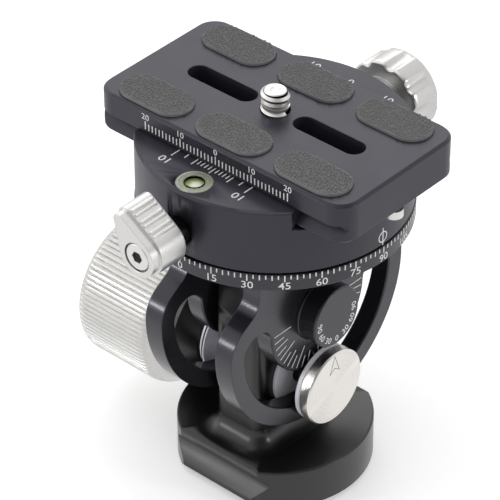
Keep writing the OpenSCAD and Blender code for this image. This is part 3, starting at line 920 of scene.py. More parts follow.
class NodeRecipe:
    """A Geometry Nodes tree with named inputs, which makes a plain mesh in millimetres."""

    def __init__(self, name: str, inputs: dict[str, str]) -> None:
        """Starts the tree.

        Args:
            name: The tree's name.
            inputs: Each input's name and kind of socket, such as "Float".
        """
        self.tree = bpy.data.node_groups.new(name, "GeometryNodeTree")
        sockets = self.tree.interface
        sockets.new_socket("Geometry", in_out="INPUT", socket_type="NodeSocketGeometry")
        sockets.new_socket("Geometry", in_out="OUTPUT", socket_type="NodeSocketGeometry")
        for key, kind in {**inputs, "Material": "Material"}.items():
            sockets.new_socket(key, in_out="INPUT", socket_type=f"NodeSocket{kind}")
        self.given = add_node(self.tree, "NodeGroupInput").outputs

    def node(self, kind: str, inputs: dict | None = None, **settings: object) -> Socket:
        """Adds a node.

        Args:
            kind: Its type.
            inputs: Its inputs, as add_node takes them.
            **settings: Its own settings.

        Returns:
            Its first output that is in use.
        """
        made = add_node(self.tree, kind, inputs, **settings)
        return next(s for s in made.outputs if s.enabled)

    def math(self, operation: str, *values: float | Socket) -> Socket:
        """Adds a sum on numbers and returns its result."""
        return self.node("ShaderNodeMath", dict(enumerate(values)), operation=operation)

    def vector(self, operation: str, first: Socket, second: Socket) -> Socket:
        """Adds a sum on vectors and returns its result; SCALE takes a number as the second."""
        key = 3 if operation == "SCALE" else 1
        return self.node("ShaderNodeVectorMath", {0: first, key: second}, operation=operation)

    def end(self, geometry: Socket) -> None:
        """Closes the tree with Realize Instances and Set Material.

        Args:
            geometry: What the tree has made.
        """
        real = self.node("GeometryNodeRealizeInstances", {0: geometry})
        painted = self.node("GeometryNodeSetMaterial", {0: real, "Material": self.given["Material"]})
        add_node(self.tree, "NodeGroupOutput", {0: painted})

    def run(self, finish: Finish, values: dict, start: Mesh | None = None) -> Mesh:
        """Makes the mesh.

        Args:
            finish: The finish that it is given.
            values: A value for each input, by name.
            start: The mesh that the tree works on, where it needs one.

        Returns:
            The result as a plain mesh.
        """
        given = {**values, "Material": finish.material()}

        def prepare(host: bpy.types.Object) -> None:
            """Adds the tree and sets its inputs by identifier.

            Args:
                host: The object that gets it.
            """
            modifier = host.modifiers.new("recipe", "NODES")
            modifier.node_group = self.tree
            for item in self.tree.interface.items_tree:
                if item.in_out == "INPUT" and item.name in given:
                    modifier[item.identifier] = given[item.name]

        return evaluated(start or bpy.data.meshes.new("start"), prepare)


def ticks_recipe() -> NodeRecipe:
    """Makes the tree for every scale's tick marks, on a line or round the z axis.

    Returns:
        The recipe.
    """
    recipe = NodeRecipe("scale_ticks", {
        "Count": "Int", "First angle": "Float", "Angle step": "Float", "Shift": "Vector",
        "Anchor": "Vector", "Direction": "Vector", "Section": "Vector", "Short": "Float",
        "Medium": "Float", "Long": "Float", "Medium every": "Int", "Long every": "Int",
    })
    given = recipe.given
    index = recipe.node("GeometryNodeInputIndex")
    length = given["Short"]
    for name in ("Medium", "Long"):
        left = recipe.math("MODULO", index, given[f"{name} every"])
        whole = recipe.math("COMPARE", left, 0.0, 0.25)
        length = recipe.node("ShaderNodeMix", {0: whole, 2: length, 3: given[name]}, data_type="FLOAT")
    angle = recipe.math("MULTIPLY_ADD", index, given["Angle step"], given["First angle"])
    reach = recipe.vector("SCALE", given["Direction"], recipe.math("MULTIPLY", length, 0.5))
    middle = recipe.vector("ADD", given["Anchor"], reach)
    turned = recipe.node("ShaderNodeVectorRotate", {"Vector": middle, "Angle": angle},
                         rotation_type="Z_AXIS")
    place = recipe.vector("ADD", turned, recipe.vector("SCALE", given["Shift"], index))
    points = recipe.node("GeometryNodePoints", {"Count": given["Count"], "Position": place})
    size = recipe.vector("ADD", given["Section"], recipe.vector("SCALE", given["Direction"], length))
    facing = recipe.node("ShaderNodeCombineXYZ", {2: angle})
    marks = recipe.node("GeometryNodeInstanceOnPoints", {
        "Points": points, "Instance": recipe.node("GeometryNodeMeshCube"), "Rotation": facing, "Scale": size,
    })
    recipe.end(marks)
    return recipe


# How far a pebble strays from its place, as a share of the pitch, how far pebbles stay off the pad's rim in
# millimetres, and the least and greatest share of their size
PEBBLE_STRAY = 0.36
PEBBLE_ROOM = 0.12
PEBBLE_SIZES = (0.75, 1.2)
# How far a pebble may be spun, in radians
PEBBLE_SPIN = 6.28


def grain_recipe() -> NodeRecipe:
    """Makes the tree for the pebbles on a pad with round ends.

    Returns:
        The recipe.
    """
    recipe = NodeRecipe("pad_grain", {
        "Length": "Float", "Width": "Float", "Pitch": "Float", "Size": "Float", "Height": "Float",
        "Seed": "Int",
    })
    given = recipe.given
    across = recipe.math("DIVIDE", given["Length"], given["Pitch"])
    along = recipe.math("DIVIDE", given["Width"], given["Pitch"])
    grid = recipe.node("GeometryNodeMeshGrid", {
        "Size X": given["Length"], "Size Y": given["Width"], "Vertices X": across, "Vertices Y": along,
    })
    away = recipe.math("MULTIPLY", given["Pitch"], PEBBLE_STRAY)
    back = recipe.math("MULTIPLY", away, -1.0)
    jitter = recipe.node("FunctionNodeRandomValue", {
        "Min": recipe.node("ShaderNodeCombineXYZ", {0: back, 1: back}),
        "Max": recipe.node("ShaderNodeCombineXYZ", {0: away, 1: away}), "Seed": given["Seed"],
    }, data_type="FLOAT_VECTOR")
    moved = recipe.node("GeometryNodeSetPosition", {"Geometry": grid, "Offset": jitter})
    apart = add_node(recipe.tree, "ShaderNodeSeparateXYZ",
                     {0: recipe.node("GeometryNodeInputPosition")}).outputs
    half = recipe.math("MULTIPLY", recipe.math("SUBTRACT", given["Length"], given["Width"]), 0.5)
    past = recipe.math("MAXIMUM", recipe.math("SUBTRACT", recipe.math("ABSOLUTE", apart[0]), half), 0.0)
    far = recipe.math("SQRT", recipe.math("ADD", recipe.math("MULTIPLY", past, past),
                                          recipe.math("MULTIPLY", apart[1], apart[1])))
    edge = recipe.math("SUBTRACT", recipe.math("MULTIPLY", given["Width"], 0.5), PEBBLE_ROOM)
    kept = recipe.node("GeometryNodeDeleteGeometry",
                       {0: moved, 1: recipe.math("GREATER_THAN", far, edge)}, domain="POINT")
    pebble = recipe.node("GeometryNodeMeshCone", {
        "Vertices": 6, "Radius Top": recipe.math("MULTIPLY", given["Size"], 0.5),
        "Radius Bottom": given["Size"], "Depth": given["Height"],
    })
    scale = recipe.node("FunctionNodeRandomValue",
                        {2: PEBBLE_SIZES[0], 3: PEBBLE_SIZES[1], "Seed": given["Seed"]}, data_type="FLOAT")
    spin = recipe.node("FunctionNodeRandomValue", {2: 0.0, 3: PEBBLE_SPIN, "Seed": given["Seed"]},
                       data_type="FLOAT")
    pebbles = recipe.node("GeometryNodeInstanceOnPoints", {
        "Points": kept, "Instance": pebble, "Scale": scale,
        "Rotation": recipe.node("ShaderNodeCombineXYZ", {2: spin}),
    })
    recipe.end(pebbles)
    return recipe


def thread_recipe() -> NodeRecipe:
    """Makes the tree for a screw thread: a ridge wound round the z axis.

    Returns:
        The recipe.
    """
    recipe = NodeRecipe("thread_ridge", {
        "Turns": "Float", "Radius": "Float", "Height": "Float", "Ridge": "Float",
    })
    given = recipe.given
    path = recipe.node("GeometryNodeCurveSpiral", {
        "Resolution": 40, "Rotations": given["Turns"], "Start Radius": given["Radius"],
        "End Radius": given["Radius"], "Height": given["Height"],
    })
    section = recipe.node("GeometryNodeCurvePrimitiveCircle", {"Resolution": 4, "Radius": given["Ridge"]})
    ridge = recipe.node("GeometryNodeCurveToMesh", {"Curve": path, "Profile Curve": section,
                                                    "Fill Caps": True})
    recipe.end(ridge)
    return recipe


def grip_recipe() -> NodeRecipe:
    """Makes the tree that presses grooves or flutes into a turned grip whose axis is z.

    Returns:
        The recipe.
    """
    recipe = NodeRecipe("grip", {
        "Count": "Float", "Turn": "Float", "Power": "Float", "Low": "Float", "High": "Float",
        "Depth low": "Float", "Depth high": "Float", "Inner radius": "Float", "Fade": "Float",
    })
    given = recipe.given
    place = recipe.node("GeometryNodeInputPosition")
    apart = add_node(recipe.tree, "ShaderNodeSeparateXYZ", {0: place}).outputs
    flat = recipe.node("ShaderNodeCombineXYZ", {0: apart[0], 1: apart[1]})
    radius = recipe.node("ShaderNodeVectorMath", {0: flat}, operation="LENGTH")
    angle = recipe.math("SUBTRACT", recipe.math("ARCTAN2", apart[1], apart[0]), given["Turn"])
    wave = recipe.math("COSINE", recipe.math("MULTIPLY", angle, given["Count"]))
    groove = recipe.math("POWER", recipe.math("MAXIMUM", wave, 0.0), given["Power"])
    depth = recipe.node("ShaderNodeMapRange", {
        0: apart[2], 1: given["Low"], 2: given["High"], 3: given["Depth low"], 4: given["Depth high"],
    })
    fade = recipe.node("ShaderNodeMapRange", {
        0: radius, 1: given["Inner radius"], 2: recipe.math("ADD", given["Inner radius"], given["Fade"]),
        3: 0.0, 4: 1.0,
    })
    middle = recipe.math("MULTIPLY", recipe.math("ADD", given["Low"], given["High"]), 0.5)
    reach = recipe.math("MULTIPLY", recipe.math("SUBTRACT", given["High"], given["Low"]), 0.501)
    above = recipe.math("COMPARE", apart[2], middle, reach)
    share = recipe.math("MULTIPLY", recipe.math("MULTIPLY", groove, fade),
                        recipe.math("MULTIPLY", depth, above))
    inwards = recipe.vector("SCALE", recipe.node("ShaderNodeVectorMath", {0: flat}, operation="NORMALIZE"),
                            recipe.math("MULTIPLY", share, -1.0))
    recipe.end(recipe.node("GeometryNodeSetPosition", {"Geometry": given["Geometry"], "Offset": inwards}))
    return recipe


@dataclass(frozen=True)
class Recipes:
    """The four trees, made once."""

    ticks: NodeRecipe
    grain: NodeRecipe
    thread: NodeRecipe
    grip: NodeRecipe

    @classmethod
    def make(cls) -> "Recipes":
        """Builds the trees."""
        return cls(ticks_recipe(), grain_recipe(), thread_recipe(), grip_recipe())


# Sub-assemblies


@dataclass
class QuickReleasePlate:
    """The plate: its pads' pebbled rubber and the scale on its front side."""

    recipes: Recipes
    top: float = 93.42
    side_y: float = 19.0
    pad_length: float = 18.4
    pad_width: float = 9.6
    pad_x: float = 22.0
    pad_y: float = 13.1
    pad_sunk: float = 0.4
    pad_base: float = 0.62
    # The pads' upper rim is a thin layer that draws in
    rim_height: float = 0.15
    rim_share: float = 0.985
    overlap: float = 0.01
    pebble_height: float = 0.26
    pebble_size: float = 0.3
    pebble_pitch: float = 0.52
    tick_low: float = 89.0
    tick_width: float = 0.3
    figure_height: float = 1.42
    figure_z: float = 92.12

    def build(self) -> None:
        """Builds and dresses what the plate carries."""
        self.pads()
        self.scale()

    def pads(self) -> None:
        """Makes six pads, each a stadium of rubber with a random grain of pebbles."""
        rubber = Workpiece()
        outline = stadium(self.pad_length, self.pad_width)
        rim = self.pad_base - self.rim_height
        for row in (-1, 1):
            for column in (-1, 0, 1):
                place = Matrix.Translation((column * self.pad_x, row * self.pad_y, self.top))
                rubber.extrude(outline, -self.pad_sunk, rim, place)
                rubber.extrude(outline, rim - self.overlap, self.pad_base, place, self.rim_share)
                pebbles = self.recipes.grain.run(PAD_RUBBER, {
                    "Length": self.pad_length, "Width": self.pad_width, "Pitch": self.pebble_pitch,
                    "Size": self.pebble_size, "Height": self.pebble_height, "Seed": 7 * row + column + 20,
                })
                rubber.add(pebbles, place @ Matrix.Translation((0, 0, self.pad_base - self.overlap)))
        rubber.piece("pebbled_pads", "plate", PAD_RUBBER, "pad_rubber", ("grip_pads",), 50.0)

    def scale(self) -> None:
        """Makes the 20-0-20 scale on the plate's front side."""
        marks = Workpiece()
        ticks = self.recipes.ticks.run(WHITE_MARK, {
            "Count": 41, "Shift": (1.0, 0.0, 0.0), "Anchor": (-20.0, 0.0, 0.0),
            "Direction": (0.0, 1.0, 0.0), "Section": (self.tick_width, 0.0, 2 * PROUD),
            "Short": 1.6, "Medium": 1.8, "Long": 2.05, "Medium every": 5, "Long every": 10,
        })
        marks.add(ticks, Lay.TO_FRONT.at(0.0, -self.side_y, self.tick_low))
        for x in range(-20, 21, 10):
            word = lettering(str(abs(x)), self.figure_height)
            marks.add(word, Lay.TO_FRONT.at(x, -self.side_y, self.figure_z))
        marks.piece("plate_scale", "plate", WHITE_MARK)


@dataclass
class CameraScrew:
    """The quarter inch screw: a head with a hex socket, a neck, a thread and a dimpled end."""

    recipes: Recipes
    low: float = 84.62
    head_r: float = 6.2
    head_top: float = 87.12
    head_chamfer: float = 0.3
    neck_r: float = 2.4
    neck_top: float = 92.6
    end: float = 98.42
    thread_r: float = 3.175
    core_r: float = 2.45
    ridge_r: float = 0.56
    pitch: float = 1.27
    turns: float = 3.6
    socket_flats: float = 5.0
    socket_depth: float = 2.0

    def build(self) -> None:
        """Makes the screw, and gives its core between the ridges the dark steel finish as painted shade."""
        low, top, end, edge = self.low, self.head_top, self.end, self.head_chamfer
        core = Workpiece().turn([
            (0, low), (self.head_r - edge, low), (self.head_r, low + edge), (self.head_r, top - edge),
            (self.head_r - edge, top), (self.neck_r, top), (self.neck_r, self.neck_top),
            (self.core_r, self.neck_top + 0.05), (self.core_r, end - 0.2), (self.core_r - 0.2, end),
            (1.2, end), (0.9, end - 0.2), (0, end - 0.35),
        ], 72).mesh("core")
        hexagon = polygon(self.socket_flats / 3 ** 0.5, 6)
        socket = Workpiece().extrude(hexagon, low - 1, low + self.socket_depth).mesh("socket")
        length = self.turns * self.pitch
        ridge = self.recipes.thread.run(BRIGHT_STEEL, {
            "Turns": self.turns, "Radius": self.thread_r - self.ridge_r, "Height": length,
            "Ridge": self.ridge_r,
        })
        body = Workpiece().add(carved(core, socket))
        body.add(ridge, Matrix.Translation((0, 0, end - self.ridge_r - length)))
        screw = body.piece("threaded_camera_screw", "camera_screw", BRIGHT_STEEL, "bright_steel",
                           ("camera_screw",))
        # The core between the ridges gets the dark steel finish: painted shade between the ridges
        screw.data.materials.append(BLACKED_STEEL.material())
        for face in screw.data.polygons:
            place = face.center / MM
            if self.neck_top < place.z < end - 0.5 and math.hypot(place.x, place.y) < self.core_r + 0.02:
                face.material_index = 1


@dataclass
class PanClamp:
    """The clamp: the ends of its jaws, their scales and the index mark."""

    recipes: Recipes
    jaw_top: float = 88.0
    body_r: float = 30.2
    # Where the jaws are sawn off: half their length, how far in, and how far down
    jaw_end_x: float = 22.3
    jaw_root_y: float = 16.5
    jaw_foot_z: float = 83.5
    saw_room: float = 5.0
    # The marks start at the jaw's lip, and the longest reach this far from the middle
    lip_y: float = 17.3
    mark_end_y: float = 21.5
    tick_width: float = 0.28
    # Half the distances between the outer marks, and between the longest with their figures
    outer_x: float = 7.65
    figure_x: float = 10.3
    figure_y: float = 23.4
    back_figure_y: float = 24.7
    figure_height: float = 2.0
    mark_z: float = 74.6
    mark_degrees: float = 89.7
    circle_r: float = 1.25
    line_width: float = 0.26
    line_below: float = 2.1
    line_above: float = 2.3

    def build(self) -> None:
        """Trims both jaws' ends and makes the marks."""
        self.trimmed("clamp_body", "short_jaw_clamp_body", "clamp", -1)
        self.trimmed("moving_jaw", "short_moving_jaw", "jaw", 1)
        self.jaw_scale("front_jaw_scale", "clamp", 180.0, self.figure_y)
        self.jaw_scale("back_jaw_scale", "jaw", 0.0, self.back_figure_y)
        self.index_mark()

    def trimmed(self, node: str, name: str, body: str, side: int) -> None:
        """Makes a CAD piece anew with its jaw cut off square at both ends.

        Args:
            node: The CAD node.
            name: The new piece's name.
            body: The body that it rides on.
            side: -1 for the front jaw, 1 for the back one.
        """
        mesh = cad_copy(node)
        far = self.body_r + self.saw_room
        for end in (-1, 1):
            (x1, x2), (y1, y2) = (sorted((end * self.jaw_end_x, end * far)),
                                  sorted((side * self.jaw_root_y, side * far)))
            saw = Workpiece().extrude([(x1, y1), (x2, y1), (x2, y2), (x1, y2)], self.jaw_foot_z,
                                      self.jaw_top + 1)
            mesh = carved(mesh, saw.mesh("saw"))
        Workpiece().add(mesh).piece(name, body, BLACK_SATIN, "black_anodised", (node,), 24.0)

    def jaw_scale(self, name: str, body: str, degrees: float, figure_y: float) -> None:
        """Makes one jaw's 10-0-10 marks, whose figures have their tops outwards.

        Args:
            name: The piece's name.
            body: The body that it rides on.
            degrees: 0 for the back jaw, 180 for the front one, where the level takes the 0's place.
            figure_y: How far the figures' middles are from the middle.
        """
        marks = Workpiece()
        flat = Matrix.Translation((0, 0, self.jaw_top)) @ Matrix.Rotation(math.radians(degrees), 4, "Z")
        reach = self.mark_end_y - self.lip_y
        for count, apart, first, short, long in (
            (11, 1.0, 5.0, reach - 1.2, reach - 0.4),
            (2, 2 * self.outer_x, self.outer_x, reach - 1.2, reach - 1.2),
            (2, 2 * self.figure_x, self.figure_x, reach, reach),
        ):
            marks.add(self.recipes.ticks.run(WHITE_MARK, {
                "Count": count, "Shift": (apart, 0.0, 0.0), "Anchor": (-first, self.lip_y, 0.0),
                "Direction": (0.0, 1.0, 0.0), "Section": (self.tick_width, 0.0, 2 * PROUD), "Short": short,
                "Medium": long, "Long": long, "Medium every": 5, "Long every": 5,
            }), flat)
        for x, word in ((-self.figure_x, "10"), (0.0, "0"), (self.figure_x, "10")):
            if x or not degrees:
                marks.add(lettering(word, self.figure_height), flat @ Matrix.Translation((x, figure_y, 0)))
        marks.piece(name, body, WHITE_MARK)

    def index_mark(self) -> None:
        """Makes the circle with a line that the pan scale is read against."""
        half = self.line_width / 2
        low, high, inner, outer = -PROUD, PROUD, self.circle_r - half, self.circle_r + half
        marks = Workpiece().turn([(inner, low), (outer, low), (outer, high), (inner, high)], 40, ring=True)
        marks.extrude([(-half, -self.line_below), (half, -self.line_below), (half, self.line_above),
                       (-half, self.line_above)], low, high)
        mesh = marks.mesh("mark")
        wrap_on_ring(mesh, self.body_r, self.mark_degrees, self.mark_z)
        Workpiece().add(mesh).piece("pan_index_mark", "clamp", WHITE_MARK)


@dataclass
class SpiritLevel:
    """The round level on the clamp. Its outlines are of radius and height."""

    y: float = -25.5
    housing: tuple[Pair, ...] = ((2.25, 86.98), (3.98, 86.98), (3.98, 88.02), (3.8, 88.16), (2.45, 88.1),
                                 (2.25, 87.95))
    ring: tuple[Pair, ...] = ((2.04, 87.55), (2.2, 87.55), (2.2, 88.12), (2.04, 88.12))
    bubble: tuple[Pair, ...] = ((0, 86.9), (1.4, 86.95), (1.58, 87.12), (1.35, 87.28), (0.75, 87.38),
                                (0, 87.4))
    # How far the bubble is from the ring's middle
    drift: Point = (0.25, 0.2, 0.0)

    def build(self) -> None:
        """Makes the acrylic housing, the black ring and the bubble."""
        place = Matrix.Translation((0, self.y, 0))
        housing = Workpiece().turn(self.housing, 72, place, ring=True)
        housing.piece("level_housing", "clamp", HOUSING, "level_window", ("level_lens",))
        ring = Workpiece().turn(self.ring, 56, place, ring=True)
        ring.piece("level_ring", "clamp", BLACK_RING, "black_steel")
        bubble = Workpiece().turn(self.bubble, 40, place @ Matrix.Translation(self.drift))
        bubble.piece("level_bubble", "clamp", BUBBLE, "level_window")


@dataclass
class ClampKnob:
    """The knob that closes the jaw: broad lobes with flutes that get shallower towards its end."""

    recipes: Recipes
    neck_y: float = 30.9
    axis_z: float = 77.3
    neck_r: float = 6.0
    neck_length: float = 5.1
    radius: float = 9.7
    length: float = 8.6
    near_chamfer: float = 0.35
    far_chamfer: float = 1.3
    lobes: int = 9
    flute_turn: float = 97.6
    flute_near: float = 0.95
    flute_far: float = 0.35

    def build(self) -> None:
        """Turns the knob and presses its flutes."""
        low, high, side = self.neck_length, self.neck_length + self.length, self.radius
        near, far = self.near_chamfer, self.far_chamfer
        start = low + near + 0.1
        outline = [(0.0, 0.0), (self.neck_r, 0.0), (self.neck_r, low), (side - near - 0.15, low),
                   (side - near, low + 0.03), (side - 0.06, low + near), (side, start)]
        outline += [(side, start + (self.length - near - far - 0.2) * i / 6) for i in range(1, 7)]
        outline += [(side - far * 0.3, high - far * 0.55), (side - far * 0.75, high - far * 0.16),
                    (side - far, high), (side - far - 0.8, high), (side - far - 1.0, high - 0.15),
                    (0.0, high - 0.15)]
        pressed = self.recipes.grip.run(SILVER_KNOB, {
            "Count": float(self.lobes), "Turn": math.radians(self.flute_turn), "Power": 1.0, "Low": low,
            "High": high - 0.3 * far, "Depth low": self.flute_near, "Depth high": self.flute_far,
            "Inner radius": self.neck_r + 1.0, "Fade": 0.4,
        }, Workpiece().turn(outline, 20 * self.lobes).mesh("blank"))
        knob = Workpiece().add(pressed, Lay.TO_BACK.at(0.0, self.neck_y, self.axis_z))
        knob.piece("fluted_clamp_knob", "clamp_knob", SILVER_KNOB, "silver_anodised", ("clamp_knob",), 40.0)


@dataclass
class TiltKnob:
    """The big knob that locks the tilt: a cone towards the yoke and a finely ridged grip."""

    recipes: Recipes
    start_x: float = -14.5
    nose_r: float = 9.9
    nose_length: float = 8.8
    # The nose gets the black glossy finish up to this radius
    dark_r: float = 13.5
    radius: float = 17.9
    # How much narrower the nose's end is than the grip
    shoulder: float = 0.9
    length: float = 30.8
    rounding: float = 2.8
    ridges: int = 90
    ridge_depth: float = 0.5
    cap_r: float = 12.0

    def build(self) -> None:
        """Turns the knob, presses its ridges and blackens its nose."""
        side, end, nose, cap = self.radius, self.length, self.nose_length, self.cap_r
        dark = nose * (self.dark_r - self.nose_r) / (side - self.shoulder - self.nose_r)
        outline = [(0.0, 0.0), (self.nose_r - 0.4, 0.0), (self.nose_r, 0.3), (self.dark_r, dark),
                   (side - 1.3, nose - 0.45), (side - self.shoulder, nose), (side - 0.45, nose + 0.7),
                   (side - 0.15, nose + 1.4), (side, nose + 2.1), (side, end - self.rounding)]
        outline += arc((side - self.rounding, end - self.rounding), self.rounding, math.radians(10),
                       math.radians(90), 8)
        outline += [(cap + 0.4, end), (cap + 0.25, end - 0.15), (cap + 0.25, end - 0.5), (cap, end - 0.5),
                    (cap, end - 0.3), (cap - 0.3, end - 0.05), (0.0, end - 0.05)]
        pressed = self.recipes.grip.run(SILVER_KNOB, {
            "Count": float(self.ridges), "Turn": 0.0, "Power": 1.6, "Low": nose + 0.01, "High": end + 1.0,
            "Depth low": self.ridge_depth, "Depth high": self.ridge_depth,
            "Inner radius": side - self.shoulder, "Fade": self.shoulder,
        }, Workpiece().turn(outline, 8 * self.ridges).mesh("blank"))
        knob = Workpiece().add(pressed, Lay.ALONG_MINUS_X.at(self.start_x, 0.0, LOCK_Z))
        piece = knob.piece("ridged_tilt_knob", "tilt_knob", SILVER_KNOB, "silver_anodised",
                           ("tilt_knob", "tilt_knob_cap"), 40.0)
        piece.data.materials.append(BLACK_GLOSSY.material())
        for face in piece.data.polygons:
            face.material_index = int(face.center.x > (self.start_x - dark) * MM)


@dataclass
class WingLever:
    """The wing that locks the pan: a ribbed back part and a smooth front layer round a cap screw."""

    axis_z: float = 78.4
    back_y: float = 34.0
    step_y: float = 41.2
    front_y: float = 43.4
    boss_r: float = 4.7
    tip: Pair = (-5.0, 7.3)
    tip_r: float = 1.35
    # How much wider the back part is
    swell: float = 0.55
    back_edge: float = 0.4
    front_edge: float = 0.3
    screw_room: float = 3.45
    rib_r: float = 0.42
    rib_places: tuple[float, ...] = (0.08, 0.22, 0.44, 0.58, 0.8, 0.94)
    # The cap screw's hex socket: its flats, and where the dark hexagon of painted shade in it starts and ends
    # under the head
    socket_flats: float = 2.0
    oil_low: float = 1.15
    oil_top: float = 0.35

    def build(self) -> None:
        """Builds the wing with its ribs, and a dark hexagon in the cap screw's socket as painted shade."""
        big, small = self.boss_r + self.swell, self.tip_r + self.swell
        back = Workpiece().extrude(belt(big, self.tip, small), self.back_y, self.step_y)
        front = Workpiece().extrude(belt(self.boss_r, self.tip, self.tip_r), self.step_y - 0.3, self.front_y)
        low, high = self.step_y + 0.35, self.front_y + 1
        room = Workpiece().turn([(0, low), (self.screw_room, low), (self.screw_room, high), (0, high)], 64)
        place = Lay.TO_FRONT.at(0.0, 0.0, self.axis_z)
        wing = Workpiece().add(back.soften(self.back_edge).mesh("back"), place)
        wing.add(carved(front.soften(self.front_edge).mesh("front"), room.mesh("room")), place)
        turn = math.atan2(self.tip[1], self.tip[0])
        half = math.acos((big - small) / math.hypot(*self.tip))
        away = Vector((math.cos(turn - half), math.sin(turn - half)))
        start, end = away * big, Vector(self.tip) + away * small
        for share in self.rib_places:
            rib = polygon(self.rib_r, 12, start.lerp(end, share))
            wing.extrude(rib, self.back_y + 0.5, self.step_y - 0.35, place)
        head = -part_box("lever_cap_screw")[0].y / MM
        hexagon = polygon(self.socket_flats / 3 ** 0.5, 6)
        # A dark steel hexagon at the socket's floor: painted shade, where the socket is only in shade
        socket_shade = Workpiece().extrude(hexagon, head - self.oil_low, head - self.oil_top, place)
        socket_shade.piece("painted_socket_shade", "pan_lever", BLACKED_STEEL, "black_steel")
        wing.piece("ribbed_wing_lever", "pan_lever", SILVER_SATIN, "silver_anodised", ("pan_lock_lever",))


@dataclass
class TiltYoke:
    """The yoke: the pan scale on its ring, the tilt scale on its cheek and the dial's figures."""

    recipes: Recipes
    ring_r: float = 30.4
    ring_top: float = 72.0
    ring_h: float = 4.0
    bore_r: float = 6.0
    cheek_in_x: float = 7.8
    cheek_x: float = 12.5
    cheek_r: float = 28.4
    neck_y: float = 19.2
    shoulder: float = 10.3
    # Slope of the S between its two roundings, in degrees
    slope: float = 30.0
    concave_r: float = 5.5
    convex_r: float = 8.0
    slot_half: float = 4.4
    # How far the slot's ends reach from straight down, in degrees
    slot_reach: float = 87.5
    pivot_r: float = 3.5
    edge: float = 0.3
    dial_x: float = 17.8
    figure_r: float = 5.65
    dial_figure: float = 1.45
    pan_figure: float = 1.75
    pan_figure_z: float = 69.38
    tilt_tick_r: float = 14.5

    def build(self) -> None:
        """Builds the yoke and its marks."""
        self.yoke()
        self.pan_scale()
        self.tilt_scale()
        self.dial()

    def cheek_outline(self) -> list[Pair]:
        """Outlines a cheek: a neck, an S on each side and a round lower part.

        Returns:
            Points of y and of height over the tilt axis.
        """
        slope = math.radians(self.slope)
        rise, reach = math.tan(slope), self.cheek_r - self.convex_r
        concave = Vector((self.neck_y + self.concave_r,
                          self.shoulder - self.concave_r * rise + self.concave_r / math.cos(slope)))
        level = self.shoulder + self.neck_y * rise - self.convex_r / math.cos(slope)
        steep = 1 + rise ** 2
        y = (level * rise + math.sqrt((level * rise) ** 2 - steep * (level ** 2 - reach ** 2))) / steep
        convex = Vector((y, level - y * rise))
        lean, touch = math.pi / 2 - slope, math.atan2(convex.y, convex.x)
        half = [(self.neck_y, self.ring_top - self.ring_h - TILT_Z + 0.3)]
        half += arc(concave, self.concave_r, math.pi, math.pi + lean, 14)
        half += arc(convex, self.convex_r, lean, touch, 18)
        half += arc((0.0, 0.0), self.cheek_r, touch, -math.pi / 2, 60)[1:]
        return half + [(-y, z) for y, z in reversed(half[:-1])]

    def slot_outline(self, wider: float) -> list[Pair]:
        """Outlines the arc slot that the lock bolt runs in.

        Args:
            wider: How much wider it is made, all round.

        Returns:
            Points of y and of height over the tilt axis.
        """
        room, drop = self.slot_half + wider, TILT_Z - LOCK_Z
        reach = math.radians(self.slot_reach)
        right, left = reach - math.pi / 2, -reach - math.pi / 2
        middle_y, middle_z = drop * math.sin(reach), -drop * math.cos(reach)
        return (arc((0.0, 0.0), drop + room, left, right, 64)
                + arc((middle_y, middle_z), room, right, right + math.pi, 16)[1:-1]
                + arc((0.0, 0.0), drop - room, right, left, 64)
                + arc((-middle_y, middle_z), room, left + math.pi, left + 2 * math.pi, 16)[1:-1])

    def yoke(self) -> None:
        """Joins the ring and two cheeks, with slots whose edges are broken, and bores the pivot."""
        low, top, outer, edge = self.ring_top - self.ring_h, self.ring_top, self.ring_r, self.edge
        mesh = Workpiece().turn([
            (self.bore_r, low), (outer - edge, low), (outer, low + edge), (outer, top - edge),
            (outer - edge, top), (self.bore_r, top),
        ], 192, ring=True).mesh("ring")
        place = Lay.ALONG_X.at(0.0, 0.0, TILT_Z)
        wide, narrow = self.slot_outline(edge), self.slot_outline(0.0)
        for side in (-1, 1):
            near, far = sorted((side * self.cheek_in_x, side * self.cheek_x))
            cheek = Workpiece().extrude(self.cheek_outline(), near, far, place).soften(edge, 1, 60.0)
            slot = Workpiece().loft([(wide, near - 1), (wide, near), (narrow, near + edge),
                                     (narrow, far - edge), (wide, far), (wide, far + 1)], place)
            pivot = Workpiece().turn([(0.0, near - 1), (self.pivot_r, near - 1), (self.pivot_r, far + 1),
                                      (0.0, far + 1)], 48, place)
            plate = carved(cheek.mesh("cheek"), slot.mesh("slot"))
            mesh = carved(mesh, carved(plate, pivot.mesh("pivot")), "UNION")
        Workpiece().add(mesh).piece("slotted_yoke", "yoke", BLACK_MILLED, "black_anodised", ("yoke",), 24.0)

    def pan_scale(self) -> None:
        """Makes ticks every 2.5 degrees and a figure every 15."""
        marks = Workpiece().add(self.recipes.ticks.run(WHITE_MARK, {
            "Count": 144, "First angle": math.radians(-90.0), "Angle step": math.radians(2.5),
            "Anchor": (self.ring_r - PROUD, 0.0, self.ring_top), "Direction": (0.0, 0.0, -1.0),
            "Section": (4 * PROUD, 0.27, 0.0), "Short": 0.95, "Medium": 1.2, "Long": 1.6,
            "Medium every": 2, "Long every": 6,
        }))
        for degrees in range(0, 360, 15):
            word = lettering(str(degrees), self.pan_figure, 4 * PROUD)
            wrap_on_ring(word, self.ring_r - PROUD, degrees, self.pan_figure_z)
            marks.add(word)
        marks.piece("pan_scale", "yoke", WHITE_MARK)

